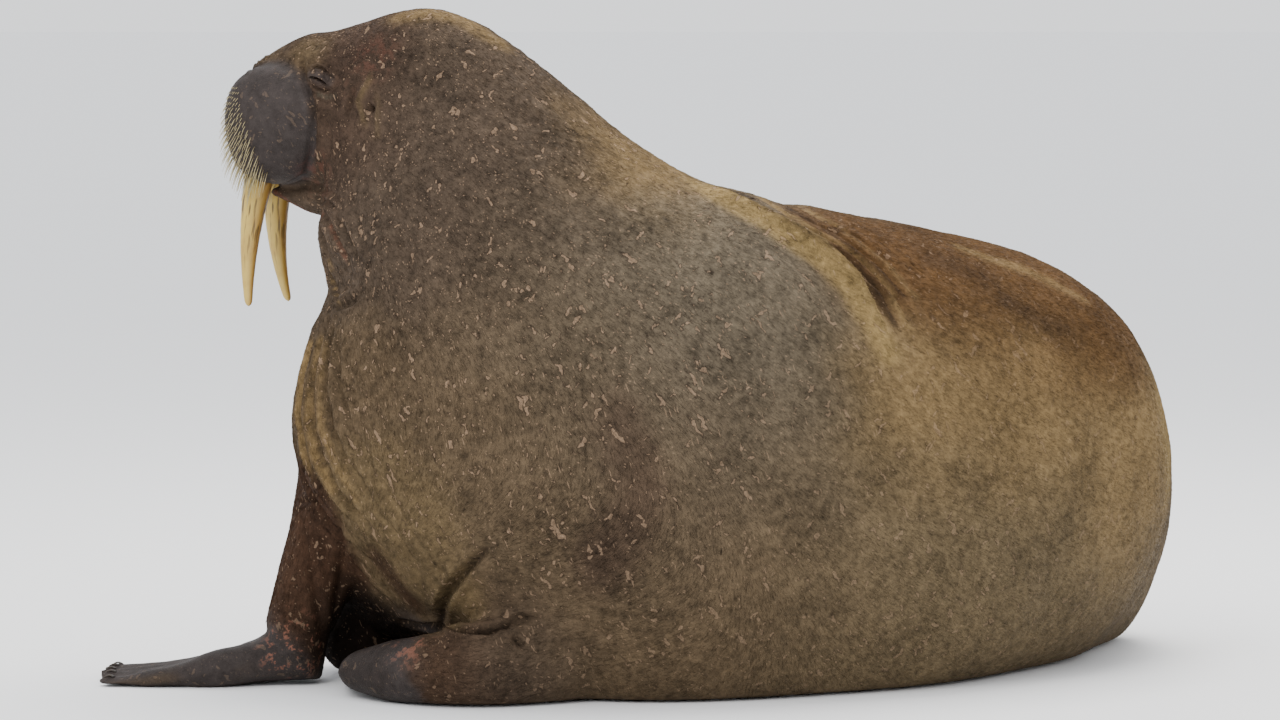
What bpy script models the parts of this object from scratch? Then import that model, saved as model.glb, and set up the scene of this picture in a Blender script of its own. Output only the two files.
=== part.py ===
"""A bull walrus resting upright on its foreflippers, life size, as a museum model.

Metres, +Z up. The animal faces -X, its left flank faces -Y, and its rear curls away to +Y.
Every sub-part is one closed body: the trunk is lofted whole and parted with thin cuts, and the
flippers, lips, tusks and eyes meet it face to face.
"""

import math
import random
from dataclasses import dataclass

import bmesh
import bpy
import numpy as np
from mathutils import Vector
from mathutils.bvhtree import BVHTree

# Driving sizes of the whole animal
GAP = 0.0003
ROOM = 0.0005
WELD = 0.00005
FLOOR = 0.0
TRUNK_SIDES = 40
HEAD_YAW = -20.0
EAR_MIDDLE = Vector((-0.541, 0.025, 1.296))

# Tusks, whiskers and eyes
TUSK_ROOT_HALF_DEPTH = 0.041
TUSK_ROOT_HALF_WIDTH = 0.030
EYE_RADIUS = 0.0195
LID_REACH = (0.040, 0.0260, 0.033)

SKIN = (0.150, 0.105, 0.070)
LIP_SKIN = (0.070, 0.060, 0.058)
FLIPPER_SKIN = (0.085, 0.060, 0.048)
IVORY = (0.700, 0.560, 0.300)
EYE_BLACK = (0.020, 0.014, 0.012)


@dataclass
class Station:
    """One cross-section of a loft: where it is, which way it faces and how far it reaches."""

    x: float
    y: float
    z: float
    up: float
    down: float
    left: float
    right: float
    yaw: float = 0.0
    pitch: float = 0.0
    top_power: float = 2.1
    low_power: float = 2.1

    def row(self):
        return (
            self.x, self.y, self.z, self.up, self.down, self.left, self.right,
            self.yaw, self.pitch, self.top_power, self.low_power,
        )


# Scene and mesh helpers


def clear_scene():
    for old in list(bpy.data.objects):
        bpy.data.objects.remove(old)


def material(name, colour, roughness):
    made = bpy.data.materials.new(name)
    made.use_nodes = True
    shader = made.node_tree.nodes["Principled BSDF"]
    shader.inputs["Base Color"].default_value = (*colour, 1.0)
    shader.inputs["Roughness"].default_value = roughness
    shader.inputs["Metallic"].default_value = 0.0
    return made


def add_object(name, points, faces, finish=None):
    mesh = bpy.data.meshes.new(name)
    mesh.from_pydata([tuple(p) for p in points], [], faces)
    shape = bmesh.new()
    shape.from_mesh(mesh)
    bmesh.ops.recalc_face_normals(shape, faces=shape.faces)
    shape.to_mesh(mesh)
    shape.free()
    made = bpy.data.objects.new(name, mesh)
    bpy.context.scene.collection.objects.link(made)
    if finish is not None:
        mesh.materials.append(finish)
    return made


def apply_modifiers(body):
    bpy.context.view_layer.update()
    graph = bpy.context.evaluated_depsgraph_get()
    mesh = bpy.data.meshes.new_from_object(body.evaluated_get(graph))
    body.modifiers.clear()
    body.data = mesh


def boolean(body, tool, operation, solver="EXACT"):
    """Cuts tool from body, joins it on, or keeps what both share, and removes tool."""
    step = body.modifiers.new("step", "BOOLEAN")
    step.operation = operation
    step.solver = solver
    step.object = tool
    apply_modifiers(body)
    bpy.data.objects.remove(tool)


def join_all(body, tools, solver="EXACT"):
    """One union of body with a whole collection of closed pieces, which are then removed."""
    group = bpy.data.collections.new("pieces to join")
    for tool in tools:
        group.objects.link(tool)
    step = body.modifiers.new("step", "BOOLEAN")
    step.operation = "UNION"
    step.solver = solver
    step.operand_type = "COLLECTION"
    step.collection = group
    apply_modifiers(body)
    for tool in tools:
        bpy.data.objects.remove(tool)
    bpy.data.collections.remove(group)


def copy_of(body, name):
    made = bpy.data.objects.new(name, body.data.copy())
    bpy.context.scene.collection.objects.link(made)
    return made


def keep_largest(body):
    """Keeps only the largest closed surface, which drops scraps and fills sealed hollows."""
    shape = bmesh.new()
    shape.from_mesh(body.data)
    bmesh.ops.remove_doubles(shape, verts=shape.verts, dist=WELD)
    bmesh.ops.dissolve_degenerate(shape, edges=shape.edges, dist=WELD)
    shape.verts.ensure_lookup_table()
    seen = set()
    islands = []
    for start in shape.verts:
        if start in seen:
            continue
        seen.add(start)
        island = [start]
        for vert in island:
            for edge in vert.link_edges:
                other = edge.other_vert(vert)
                if other not in seen:
                    seen.add(other)
                    island.append(other)
        islands.append(island)
    islands.sort(key=span, reverse=True)
    for island in islands[1:]:
        bmesh.ops.delete(shape, geom=island, context="VERTS")
    bmesh.ops.triangulate(shape, faces=shape.faces)
    shape.to_mesh(body.data)
    shape.free()


def span(island):
    low = Vector(map(min, zip(*(v.co for v in island))))
    high = Vector(map(max, zip(*(v.co for v in island))))
    return (high - low).length


def points_of(body):
    flat = np.empty(len(body.data.vertices) * 3)
    body.data.vertices.foreach_get("co", flat)
    return flat.reshape(-1, 3)


def set_points(body, points):
    body.data.vertices.foreach_set("co", points.ravel())
    body.data.update()


def normals_of(body):
    flat = np.empty(len(body.data.vertices) * 3)
    body.data.vertices.foreach_get("normal", flat)
    return flat.reshape(-1, 3)


def inflated_copy(body, name, by):
    """A copy whose surface stands out by a small gap, used to cut a neighbour clear of body."""
    made = copy_of(body, name)
    set_points(made, points_of(made) + normals_of(made) * by)
    return made


# Lofts


def smooth_table(rows, steps):
    """Reads the station table along a smooth curve. steps[i] is how many rings follow row i."""
    rows = np.array(rows, float)
    length = np.linalg.norm(np.diff(rows[:, :3], axis=0), axis=1)
    knot = np.concatenate([[0.0], np.cumsum(length)])
    slope = np.empty_like(rows)
    slope[0] = (rows[1] - rows[0]) / length[0]
    slope[-1] = (rows[-1] - rows[-2]) / length[-1]
    for i in range(1, len(rows) - 1):
        before = (rows[i] - rows[i - 1]) / length[i - 1]
        after = (rows[i + 1] - rows[i]) / length[i]
        share = length[i - 1] / (length[i - 1] + length[i])
        slope[i] = before * (1 - share) + after * share
    made = []
    for i in range(len(rows) - 1):
        for k in range(steps[i]):
            t = k / steps[i]
            h = knot[i + 1] - knot[i]
            made.append(
                rows[i] * (2 * t**3 - 3 * t**2 + 1)
                + slope[i] * h * (t**3 - 2 * t**2 + t)
                + rows[i + 1] * (3 * t**2 - 2 * t**3)
                + slope[i + 1] * h * (t**3 - t**2)
            )
    made.append(rows[-1])
    return made


def facing(yaw, pitch):
    """Forward, left and upper directions of a cross-section."""
    a, b = math.radians(yaw), math.radians(pitch)
    forward = Vector((-math.cos(a) * math.cos(b), -math.sin(a) * math.cos(b), math.sin(b)))
    left = Vector((math.sin(a), -math.cos(a), 0.0))
    return forward, left, forward.cross(left)


def ring(row, sides, share=1.0, ahead=0.0):
    """Points round one cross-section, drawn in to share of its size and moved ahead of it."""
    x, y, z, up, down, left_reach, right_reach, yaw, pitch, top_power, low_power = row
    forward, left, upper = facing(yaw, pitch)
    centre = Vector((x, y, z)) + forward * ahead
    points = []
    for k in range(sides):
        turn = 2 * math.pi * k / sides
        c, s = math.cos(turn), math.sin(turn)
        power = top_power if s > 0 else low_power
        across = math.copysign(abs(c) ** (2 / power), c) * share
        rise = math.copysign(abs(s) ** (2 / power), s) * share
        across *= left_reach if c > 0 else right_reach
        rise *= up if s > 0 else down
        points.append(centre + left * across + upper * rise)
    return points


def loft(name, stations, steps, sides, start_round, end_round, finish=None, cap_rings=4):
    """A closed body through its stations, with blunt rounded ends start_round and end_round long."""
    rows = smooth_table([s.row() for s in stations], steps)
    rings = []
    for k in range(1, cap_rings):
        share = k / cap_rings
        rings.append(ring(rows[0], sides, share, -start_round * (1 - share**2)))
    rings += [ring(row, sides) for row in rows]
    for k in reversed(range(1, cap_rings)):
        share = k / cap_rings
        rings.append(ring(rows[-1], sides, share, end_round * (1 - share**2)))
    first = Vector(rows[0][:3]) - facing(rows[0][7], rows[0][8])[0] * start_round
    last = Vector(rows[-1][:3]) + facing(rows[-1][7], rows[-1][8])[0] * end_round
    points = [p for r in rings for p in r] + [first, last]
    faces = []
    for i in range(len(rings) - 1):
        for k in range(sides):
            n = (k + 1) % sides
            a, b = i * sides, (i + 1) * sides
            faces.append((a + k, a + n, b + n, b + k))
    end = (len(rings) - 1) * sides
    for k in range(sides):
        n = (k + 1) % sides
        faces.append((n, k, len(points) - 2))
        faces.append((end + k, end + n, len(points) - 1))
    return add_object(name, points, faces, finish)


def head_point(ahead, left, above):
    """A point of the head's own frame: distances from the middle between the ears."""
    forward, side, upper = facing(HEAD_YAW, 0.0)
    return EAR_MIDDLE + forward * ahead + side * left + upper * above


def head_station(ahead, above, up, down, half_width, **powers):
    p = head_point(ahead, 0.0, above)
    return Station(p.x, p.y, p.z, up, down, half_width, half_width, HEAD_YAW, 0.0, **powers)


def blob(name, centre, reach, turn, finish=None, power=2.0, segments=20, rings=12):
    """A rounded box or ball: reach along its own forward, left and upper axes."""
    forward, left, upper = turn
    points = []
    for i in range(1, rings):
        tilt = math.pi * (i / rings - 0.5)
        for k in range(segments):
            spin = 2 * math.pi * k / segments
            a = math.cos(tilt) * math.cos(spin)
            b = math.cos(tilt) * math.sin(spin)
            c = math.sin(tilt)
            size = (abs(a) ** power + abs(b) ** power + abs(c) ** power) ** (1 / power)
            points.append(
                centre
                + forward * (a / size * reach[0])
                + left * (b / size * reach[1])
                + upper * (c / size * reach[2])
            )
    points += [centre - upper * reach[2], centre + upper * reach[2]]
    faces = []
    for i in range(rings - 2):
        for k in range(segments):
            n = (k + 1) % segments
            a, b = i * segments, (i + 1) * segments
            faces.append((a + k, a + n, b + n, b + k))
    top = (rings - 2) * segments
    for k in range(segments):
        n = (k + 1) % segments
        faces.append((n, k, len(points) - 2))
        faces.append((top + k, top + n, len(points) - 1))
    return add_object(name, points, faces, finish)


def tapered_tube(name, route, radii, sides, finish=None, flat=1.0):
    """A closed tube along route, radii[i] thick at route[i]; flat squeezes it across."""
    rings = []
    across = None
    for i, point in enumerate(route):
        ahead = (route[min(i + 1, len(route) - 1)] - route[max(i - 1, 0)]).normalized()
        if across is None:
            across = ahead.orthogonal().normalized()
        across = (across - ahead * across.dot(ahead)).normalized()
        other = ahead.cross(across)
        rings.append([
            point
            + across * (radii[i] * math.cos(2 * math.pi * k / sides))
            + other * (radii[i] * flat * math.sin(2 * math.pi * k / sides))
            for k in range(sides)
        ])
    points = [p for r in rings for p in r]
    faces = []
    for i in range(len(rings) - 1):
        for k in range(sides):
            n = (k + 1) % sides
            a, b = i * sides, (i + 1) * sides
            faces.append((a + k, a + n, b + n, b + k))
    faces.append(tuple(range(sides)))
    faces.append(tuple(range((len(rings) - 1) * sides, len(rings) * sides)))
    return add_object(name, points, faces, finish)


# Relief on a lofted surface


def swell(body, centre, radius, push):
    """Moves the surface near centre by push, fading to nothing at radius."""
    points = points_of(body)
    away = np.linalg.norm(points - np.array(centre), axis=1) / radius
    fade = np.clip(1 - away**2, 0, 1) ** 2
    set_points(body, points + fade[:, None] * np.array(push))


def crease(body, route, width, depth):
    """Presses a groove depth deep into the surface along route, a short list of points."""
    points = points_of(body)
    nearest = np.full(len(points), 1e9)
    for a, b in zip(route[:-1], route[1:]):
        a, b = np.array(a, float), np.array(b, float)
        along = np.clip((points - a) @ (b - a) / ((b - a) @ (b - a)), 0, 1)
        nearest = np.minimum(nearest, np.linalg.norm(points - a - along[:, None] * (b - a), axis=1))
    fade = np.exp(-((nearest / width) ** 2))
    set_points(body, points - normals_of(body) * (depth * fade)[:, None])


def floor_block(name):
    """The space under the floor, which cuts every resting piece flat at one level."""
    points = []
    for z in (-1.0, FLOOR):
        points += [(-3, -3, z), (3, -3, z), (3, 3, z), (-3, 3, z)]
    faces = [(3, 2, 1, 0), (4, 5, 6, 7), (0, 1, 5, 4), (1, 2, 6, 5), (2, 3, 7, 6), (3, 0, 4, 7)]
    return add_object(name, points, faces)


def half_space(name, point, yaw, pitch, ahead):
    """A big block whose flat face stands across the body at point, facing forward or back."""
    forward, left, upper = facing(yaw, pitch)
    side = 1 if ahead else -1
    base = Vector(point) - forward * (side * GAP / 2)
    points = []
    for depth in (0.0, 3.0 * side):
        for a, b in ((-3, -3), (3, -3), (3, 3), (-3, 3)):
            points.append(base + forward * depth + left * a + upper * b)
    faces = [(3, 2, 1, 0), (4, 5, 6, 7), (0, 1, 5, 4), (1, 2, 6, 5), (2, 3, 7, 6), (3, 0, 4, 7)]
    return add_object(name, points, faces)


# The trunk, neck and head as one loft

TRUNK = [
    Station(1.092, 0.850, 0.305, 0.215, 0.33, 0.190, 0.165, yaw=58),
    Station(1.032, 0.760, 0.372, 0.345, 0.41, 0.285, 0.235, yaw=56),
    Station(0.950, 0.640, 0.420, 0.435, 0.47, 0.360, 0.290, yaw=54),
    Station(0.858, 0.516, 0.460, 0.486, 0.52, 0.440, 0.370, yaw=48),
    Station(0.660, 0.315, 0.485, 0.525, 0.57, 0.470, 0.420, yaw=40, low_power=2.3),
    Station(0.364, 0.115, 0.498, 0.575, 0.64, 0.490, 0.460, yaw=26, pitch=5, low_power=2.5),
    Station(0.096, 0.000, 0.536, 0.593, 0.70, 0.510, 0.470, yaw=10, pitch=18, low_power=2.6),
    Station(-0.144, -0.030, 0.650, 0.575, 0.60, 0.490, 0.480, yaw=0, pitch=35, low_power=2.4),
    Station(-0.345, -0.020, 0.890, 0.48, 0.55, 0.425, 0.430, yaw=-5, pitch=50),
    Station(-0.450, 0.000, 1.080, 0.39, 0.355, 0.325, 0.325, yaw=-10, pitch=50),
    Station(-0.536, 0.020, 1.225, 0.303, 0.285, 0.215, 0.215, yaw=-15, pitch=40),
    Station(-0.612, 0.040, 1.300, 0.214, 0.25, 0.160, 0.160, yaw=-20, pitch=20),
    head_station(0.150, -0.020, 0.195, 0.190, 0.144),
    head_station(0.220, -0.018, 0.185, 0.160, 0.132),
    head_station(0.275, -0.005, 0.148, 0.135, 0.116),
    head_station(0.312, 0.026, 0.096, 0.105, 0.088),
    head_station(0.343, 0.046, 0.054, 0.062, 0.056),
]
TRUNK_STEPS = [2, 2, 2, 3, 4, 5, 5, 5, 5, 4, 4, 4, 3, 2, 2, 2]
RUMP_DOME = 0.115
NOSE_DOME = 0.024

# Where the trunk is parted: a point of each cut and the direction it faces
CUTS = {
    "head": ((-0.500, 0.010, 1.270), -19.0, 28.0),
    "neck": ((-0.372, -0.018, 0.915), -5.0, 50.0),
    "chest": ((-0.040, -0.020, 0.590), 5.0, 24.0),
    "belly": ((0.520, 0.215, 0.490), 34.0, 2.0),
}


def build_trunk(skin):
    """The whole trunk with its folds, cut flat where it rests."""
    whole = loft("whole", TRUNK, TRUNK_STEPS, TRUNK_SIDES, RUMP_DOME, NOSE_DOME, skin, cap_rings=5)
    # chest cushion, nape, breast, both shoulders, thigh, ridge across the loins, rump, and the far
    # side of the breast, which sags to the floor
    swell(whole, (-0.72, -0.04, 0.60), 0.30, (-0.020, 0.0, -0.005))
    swell(whole, (-0.42, 0.03, 1.50), 0.22, (-0.008, 0.0, 0.014))
    swell(whole, (-0.50, 0.17, 0.27), 0.42, (-0.165, 0.02, -0.085))
    swell(whole, (-0.22, -0.50, 0.52), 0.42, (0.0, -0.035, 0.0))
    swell(whole, (-0.22, 0.46, 0.52), 0.42, (0.0, 0.030, 0.0))
    swell(whole, (0.62, -0.05, 0.20), 0.42, (0.02, -0.030, 0.0))
    swell(whole, (0.30, -0.30, 0.98), 0.30, (0.0, -0.02, 0.018))
    swell(whole, (1.14, 0.62, 0.72), 0.30, (0.020, -0.004, 0.004))
    swell(whole, (1.14, 0.52, 0.10), 0.26, (-0.022, 0.006, 0.0))
    swell(whole, (-0.65, 0.445, 0.17), 0.42, (-0.086, 0.0, -0.135))
    swell(whole, (-0.40, 0.500, 0.10), 0.48, (-0.060, 0.0, -0.130))
    crease(whole, [(0.20, 0.22, 1.12), (0.42, -0.12, 0.98), (0.60, -0.22, 0.74)], 0.045, 0.022)
    crease(whole, [(-0.66, -0.24, 0.93), (-0.72, 0.00, 0.88), (-0.62, 0.26, 0.93)], 0.045, 0.034)
    crease(whole, [(-0.52, -0.36, 0.62), (-0.40, -0.47, 0.36), (-0.44, -0.42, 0.22)], 0.040, 0.022)
    # brow over each eye and the hollow of each cheek
    for side in (1, -1):
        brow = head_point(0.140, side * 0.105, 0.105)
        swell(whole, brow, 0.070, (facing(HEAD_YAW, 0)[1] * (side * 0.008)) + Vector((0, 0, 0.006)))
    boolean(whole, floor_block("floor"), "DIFFERENCE")
    keep_largest(whole)
    return whole


def part_trunk(whole):
    """Cuts the trunk across into head, neck, chest, belly and hips, a thin gap between them."""
    names = list(CUTS) + ["hips"]
    parts = {}
    for i, name in enumerate(names):
        body = copy_of(whole, name)
        if i > 0:
            point, yaw, pitch = CUTS[names[i - 1]]
            boolean(body, half_space("ahead", point, yaw, pitch, True), "DIFFERENCE")
        if name in CUTS:
            point, yaw, pitch = CUTS[name]
            boolean(body, half_space("behind", point, yaw, pitch, False), "DIFFERENCE")
        keep_largest(body)
        parts[name] = body
    return parts


def surface_point(body, origin, direction):
    """Where a line from origin along direction meets the body, and the surface's own facing."""
    shape = bmesh.new()
    shape.from_mesh(body.data)
    tree = BVHTree.FromBMesh(shape)
    place, facing_out, _, _ = tree.ray_cast(Vector(origin), Vector(direction).normalized())
    shape.free()
    return place, facing_out


# Eyes, ears and nostrils

EYE_PLACE = {1: (0.146, 0.114, 0.057), -1: (0.146, -0.114, 0.057)}


def eye_frame(side):
    """Directions of an eye: along its slit towards the nose, outward, and across the slit."""
    forward, left, upper = facing(HEAD_YAW, 0.0)
    along = (forward * 0.93 + upper * 0.36).normalized()
    out = left * side
    out = (out - along * out.dot(along)).normalized()
    return along, out, along.cross(out)


def add_eye(head, side, skin, black):
    """Heavy lids almost closed over a round eye, which sits in its own socket."""
    place = head_point(*EYE_PLACE[side])
    turn = eye_frame(side)
    join_all(head, [blob("lids", place, LID_REACH, turn, skin, segments=12, rings=8)])
    boolean(head, blob("socket", place, (EYE_RADIUS + ROOM,) * 3, turn, segments=12, rings=8), "DIFFERENCE")
    slit = place + turn[1] * LID_REACH[1]
    boolean(head, blob("slit", slit, (0.0190, 0.015, 0.0034), turn, segments=10, rings=6), "DIFFERENCE")
    name = "eye_left" if side > 0 else "eye_right"
    return blob(name, place, (EYE_RADIUS,) * 3, turn, black, segments=12, rings=8)


def add_ear(head, side, skin):
    """A small ear opening behind a low fold of skin; the animal has no ear flap."""
    forward, left, upper = facing(HEAD_YAW, 0.0)
    place, _ = surface_point(head, head_point(-0.012, side * 0.40, 0.0), -left * side)
    arc = []
    for k in range(7):
        turn = math.radians(-75 + 25 * k)
        arc.append(place - left * (side * 0.002) + forward * (0.014 * math.cos(turn)) + upper * (0.022 * math.sin(turn)))
    join_all(head, [tapered_tube("fold", arc, [0.003, 0.0045, 0.0055, 0.006, 0.0055, 0.0045, 0.003], 6, skin)])
    route = [place + left * (side * a) for a in (0.02, 0.0, -0.008, -0.016)]
    boolean(head, tapered_tube("pit", route, [0.0075, 0.0065, 0.0050, 0.0025], 8), "DIFFERENCE")


def add_nostril(head, side):
    """A crescent nostril slit high on the front of the muzzle."""
    forward, left, upper = facing(HEAD_YAW, 0.0)
    middle, out = surface_point(head, head_point(0.60, side * 0.034, 0.190), -forward * 0.94 - upper * 0.34)
    across = left * side
    across = (across - out * across.dot(out)).normalized()
    rise = out.cross(across).normalized()
    if rise.z < 0:
        rise = -rise
    arc = []
    for k in range(7):
        turn = math.radians(-80 + 160 * k / 6)
        arc.append(middle - out * 0.003 + across * (0.014 * math.cos(turn) - 0.008) + rise * (0.020 * math.sin(turn)))
    radii = [0.0025, 0.0045, 0.0055, 0.0060, 0.0055, 0.0045, 0.0025]
    boolean(head, tapered_tube("nostril", arc, radii, 8), "DIFFERENCE")


# Muzzle: whisker pads, lower jaw and tusks

PAD_MIDDLE = (0.266, 0.069, -0.038)
PAD_REACH = (0.124, 0.098, 0.136)
PAD_POWER = 2.45
PAD_TILT = -6.0
WHISKER_ROWS = 9
WHISKER_COLUMNS = 7


def tusk_route(side, rings):
    """Middle line of a tusk from its hidden root to its tip: outward, then bowed back."""
    points = []
    for k in range(rings):
        t = k / (rings - 1)
        ahead = 0.309 + 0.093 * t - 0.077 * t * t
        out = 0.050 + 0.0245 * t + 0.036 * t * t
        points.append(head_point(ahead, side * out, -0.105 - 0.345 * t))
    return points


def add_tusk(side, ivory):
    rings = 11
    radii = []
    for k in range(rings):
        t = k / (rings - 1)
        radii.append(TUSK_ROOT_HALF_DEPTH * (1.0 - 0.80 * t))
    name = "tusk_left" if side > 0 else "tusk_right"
    route = tusk_route(side, rings)
    forward, left, _ = facing(HEAD_YAW, 0.0)
    points = []
    for i, centre in enumerate(route):
        for k in range(12):
            turn = 2 * math.pi * k / 12
            points.append(
                centre
                + forward * (radii[i] * math.cos(turn))
                + left * (radii[i] * TUSK_ROOT_HALF_WIDTH / TUSK_ROOT_HALF_DEPTH * math.sin(turn))
            )
    tip = route[-1] + (route[-1] - route[-2]).normalized() * 0.010
    ends = [tip, route[0] + Vector((0, 0, 0.004))]
    # the worn tip closes over a smaller ring
    for k in range(12):
        points.append(points[(rings - 1) * 12 + k].lerp(tip, 0.45) + (tip - route[-1]) * 0.30)
    faces = []
    for i in range(rings):
        for k in range(12):
            n = (k + 1) % 12
            faces.append((i * 12 + k, i * 12 + n, (i + 1) * 12 + n, (i + 1) * 12 + k))
    points += ends
    for k in range(12):
        n = (k + 1) % 12
        faces.append((rings * 12 + k, rings * 12 + n, len(points) - 2))
        faces.append((n, k, len(points) - 1))
    return add_object(name, points, faces, ivory)


def pad_surface(side, ahead_turn, rise):
    """A point of a pad and its outward direction, by angle round from the front and by height."""
    forward, left, upper = facing(HEAD_YAW, PAD_TILT)
    level = math.sqrt(max(0.0, 1 - rise * rise))
    unit = (level * math.cos(ahead_turn), level * math.sin(ahead_turn), rise)
    size = sum(abs(a) ** PAD_POWER for a in unit) ** (1 / PAD_POWER)
    axes = (forward, left * side, upper)
    place = head_point(PAD_MIDDLE[0], side * PAD_MIDDLE[1], PAD_MIDDLE[2])
    out = Vector((0, 0, 0))
    for axis, part, reach in zip(axes, unit, PAD_REACH):
        place = place + axis * (part / size * reach)
        out += axis * (math.copysign(abs(part / size) ** (PAD_POWER - 1), part) / reach)
    return place, out.normalized()


def near_tusk(place, side):
    """Whether a point lies too close to the tusk for a whisker's root."""
    route = tusk_route(side, 11)
    return any((place - p).length < TUSK_ROOT_HALF_DEPTH + 0.008 for p in route[:6])


def add_whiskers(pad, side, finish):
    """Stiff bristles in slanting rows, short high on the pad and long and drooping low down."""
    rng = random.Random(11 + side)
    forward, left, upper = facing(HEAD_YAW, 0.0)
    spines = []
    for row in range(WHISKER_ROWS):
        low = row / (WHISKER_ROWS - 1)
        rise = 0.62 - 1.46 * low
        columns = WHISKER_COLUMNS - (2 if row in (0, WHISKER_ROWS - 1) else 0)
        for column in range(columns):
            across = (column + 0.5 * (row % 2)) / columns
            turn = math.radians(-30 + 100 * across + rng.uniform(-2, 2))
            place, out = pad_surface(side, turn, rise + rng.uniform(-0.02, 0.02))
            if (place - EAR_MIDDLE).dot(left) * side < 0.014 or near_tusk(place, side):
                continue
            length = (0.022 + 0.058 * low**1.3) * (1 - 0.30 * across) * rng.uniform(0.85, 1.12)
            aim = (out * 0.42 + forward * 0.12 - upper * (0.75 + 0.15 * low)).normalized()
            bend = (aim * 0.9 - upper * 0.12 - out * 0.10).normalized()
            route = [place - out * 0.006, place + aim * (length * 0.5), place + aim * (length * 0.5) + bend * (length * 0.5)]
            spines.append(tapered_tube("whisker", route, [0.0019, 0.0015, 0.0006], 3, finish))
    join_all(pad, spines)


def middle_wall(side):
    """A block over the other half of the muzzle, to part the two pads down the middle."""
    forward, left, upper = facing(HEAD_YAW, 0.0)
    wall = EAR_MIDDLE + left * (side * GAP / 2)
    near = [wall + forward * a + upper * b for a, b in ((-2, -2), (2, -2), (2, 2), (-2, 2))]
    far = [corner - left * side for corner in near]
    faces = [(0, 1, 2, 3), (7, 6, 5, 4), (0, 4, 5, 1), (1, 5, 6, 2), (2, 6, 7, 3), (3, 7, 4, 0)]
    return add_object("middle wall", near + far, faces)


def add_pad(side, neighbours, finish, bristles):
    """One swollen whisker pad, cut to sit against the muzzle round the tusk's root."""
    name = "whisker_pad_left" if side > 0 else "whisker_pad_right"
    place = head_point(PAD_MIDDLE[0], side * PAD_MIDDLE[1], PAD_MIDDLE[2])
    turn = facing(HEAD_YAW, PAD_TILT)
    pad = blob(name, place, PAD_REACH, turn, finish, power=PAD_POWER, segments=22, rings=13)
    if bristles:
        add_whiskers(pad, side, finish)
    boolean(pad, middle_wall(side), "DIFFERENCE")
    for other in neighbours:
        boolean(pad, inflated_copy(other, "room", ROOM), "DIFFERENCE")
    keep_largest(pad)
    return pad


def jaw_station(ahead, above, up, down, half_width):
    return head_station(ahead, above, up, down, half_width, top_power=2.4, low_power=2.1)


def add_jaw(neighbours, finish):
    """Lower jaw with its lip, narrow enough to shut between the tusks."""
    stations = [
        jaw_station(0.050, -0.190, 0.060, 0.085, 0.086),
        jaw_station(0.150, -0.200, 0.040, 0.056, 0.080),
        jaw_station(0.220, -0.200, 0.024, 0.042, 0.062),
        jaw_station(0.280, -0.197, 0.017, 0.018, 0.037),
        jaw_station(0.306, -0.194, 0.012, 0.012, 0.030),
    ]
    jaw = loft("lower_jaw", stations, [2, 2, 2, 1], 18, 0.02, 0.014, finish, cap_rings=3)
    for other in neighbours:
        boolean(jaw, inflated_copy(other, "room", ROOM), "DIFFERENCE")
    keep_largest(jaw)
    return jaw


# Flippers


def paddle(name, rows, steps, tips, ridge, finish, splay=1.0, across_steps=20):
    """A flat flipper with five digits under one skin.

    rows: x, y, z, half width, half thickness, yaw, pitch along its middle line.
    tips: how far each digit reaches past the last row, from the left edge to the right edge.
    """
    lines = smooth_table(rows, steps)
    rings = []
    count = len(lines) - 1
    for i, line in enumerate(lines):
        x, y, z, half_width, thick, yaw, pitch = line
        forward, left, upper = facing(yaw, pitch)
        s = i / count
        grown = max(0.0, (s - 0.35) / 0.65)
        top, low = [], []
        for k in range(across_steps + 1):
            v = 1 - 2 * k / across_steps
            bump = math.cos(math.pi * v / 0.4) ** 2
            place = (1 - v) * 2.5 - 0.5
            index = min(max(int(place), 0), 3)
            share = min(max(place - index, 0.0), 1.0)
            reach = tips[index] * (1 - share) + tips[index + 1] * share
            ahead = grown**2 * (reach * splay - 0.022 * (1 - bump))
            power = 2.0 + 1.4 * min(1.0, s * 2)
            body = max(0.0, 1 - abs(v) ** power) ** 0.5
            rise = thick * body * (1 - 0.20 * grown * (1 - bump)) + ridge * grown * bump * body
            base = Vector((x, y, z)) + forward * ahead + left * (half_width * v)
            top.append(base + upper * rise)
            low.append(base - upper * (thick * body * (1 - 0.20 * grown * (1 - bump))))
        rings.append(top + low[-2:0:-1])
    sides = len(rings[0])
    points = [p for r in rings for p in r]
    faces = []
    for i in range(len(rings) - 1):
        for k in range(sides):
            n = (k + 1) % sides
            a, b = i * sides, (i + 1) * sides
            faces.append((a + k, a + n, b + n, b + k))
    for base in (0, (len(rings) - 1) * sides):
        for k in range(across_steps):
            a, b = base + k, base + k + 1
            c, d = base + (sides - k - 1) % sides, base + (sides - k) % sides
            ends = [a, b, c] if k == 0 else [a, b, d] if k == across_steps - 1 else [a, b, c, d]
            faces.append(tuple(ends))
    return add_object(name, points, faces, finish)


def add_claws(hand, rows, tips, finish, size=1.0):
    """A small blunt claw on top of each digit, set back from its tip."""
    x, y, z, half_width, thick, yaw, pitch = rows[-1]
    forward, left, upper = facing(yaw, pitch)
    claws = []
    for digit, reach in enumerate(tips):
        v = 0.8 - 0.4 * digit
        base = Vector((x, y, z)) + forward * (reach - 0.030) + left * (half_width * v)
        place, out = surface_point(hand, base + upper * 0.2, -upper)
        if place is None:
            continue
        route = [
            place - out * 0.003 - forward * (0.007 * size),
            place + out * (0.0035 * size) + forward * (0.002 * size),
            place + out * (0.0030 * size) + forward * (0.013 * size),
        ]
        claws.append(tapered_tube("claw", route, [0.0050 * size, 0.0044 * size, 0.0014], 4, finish))
    join_all(hand, claws)
    keep_largest(hand)


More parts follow.
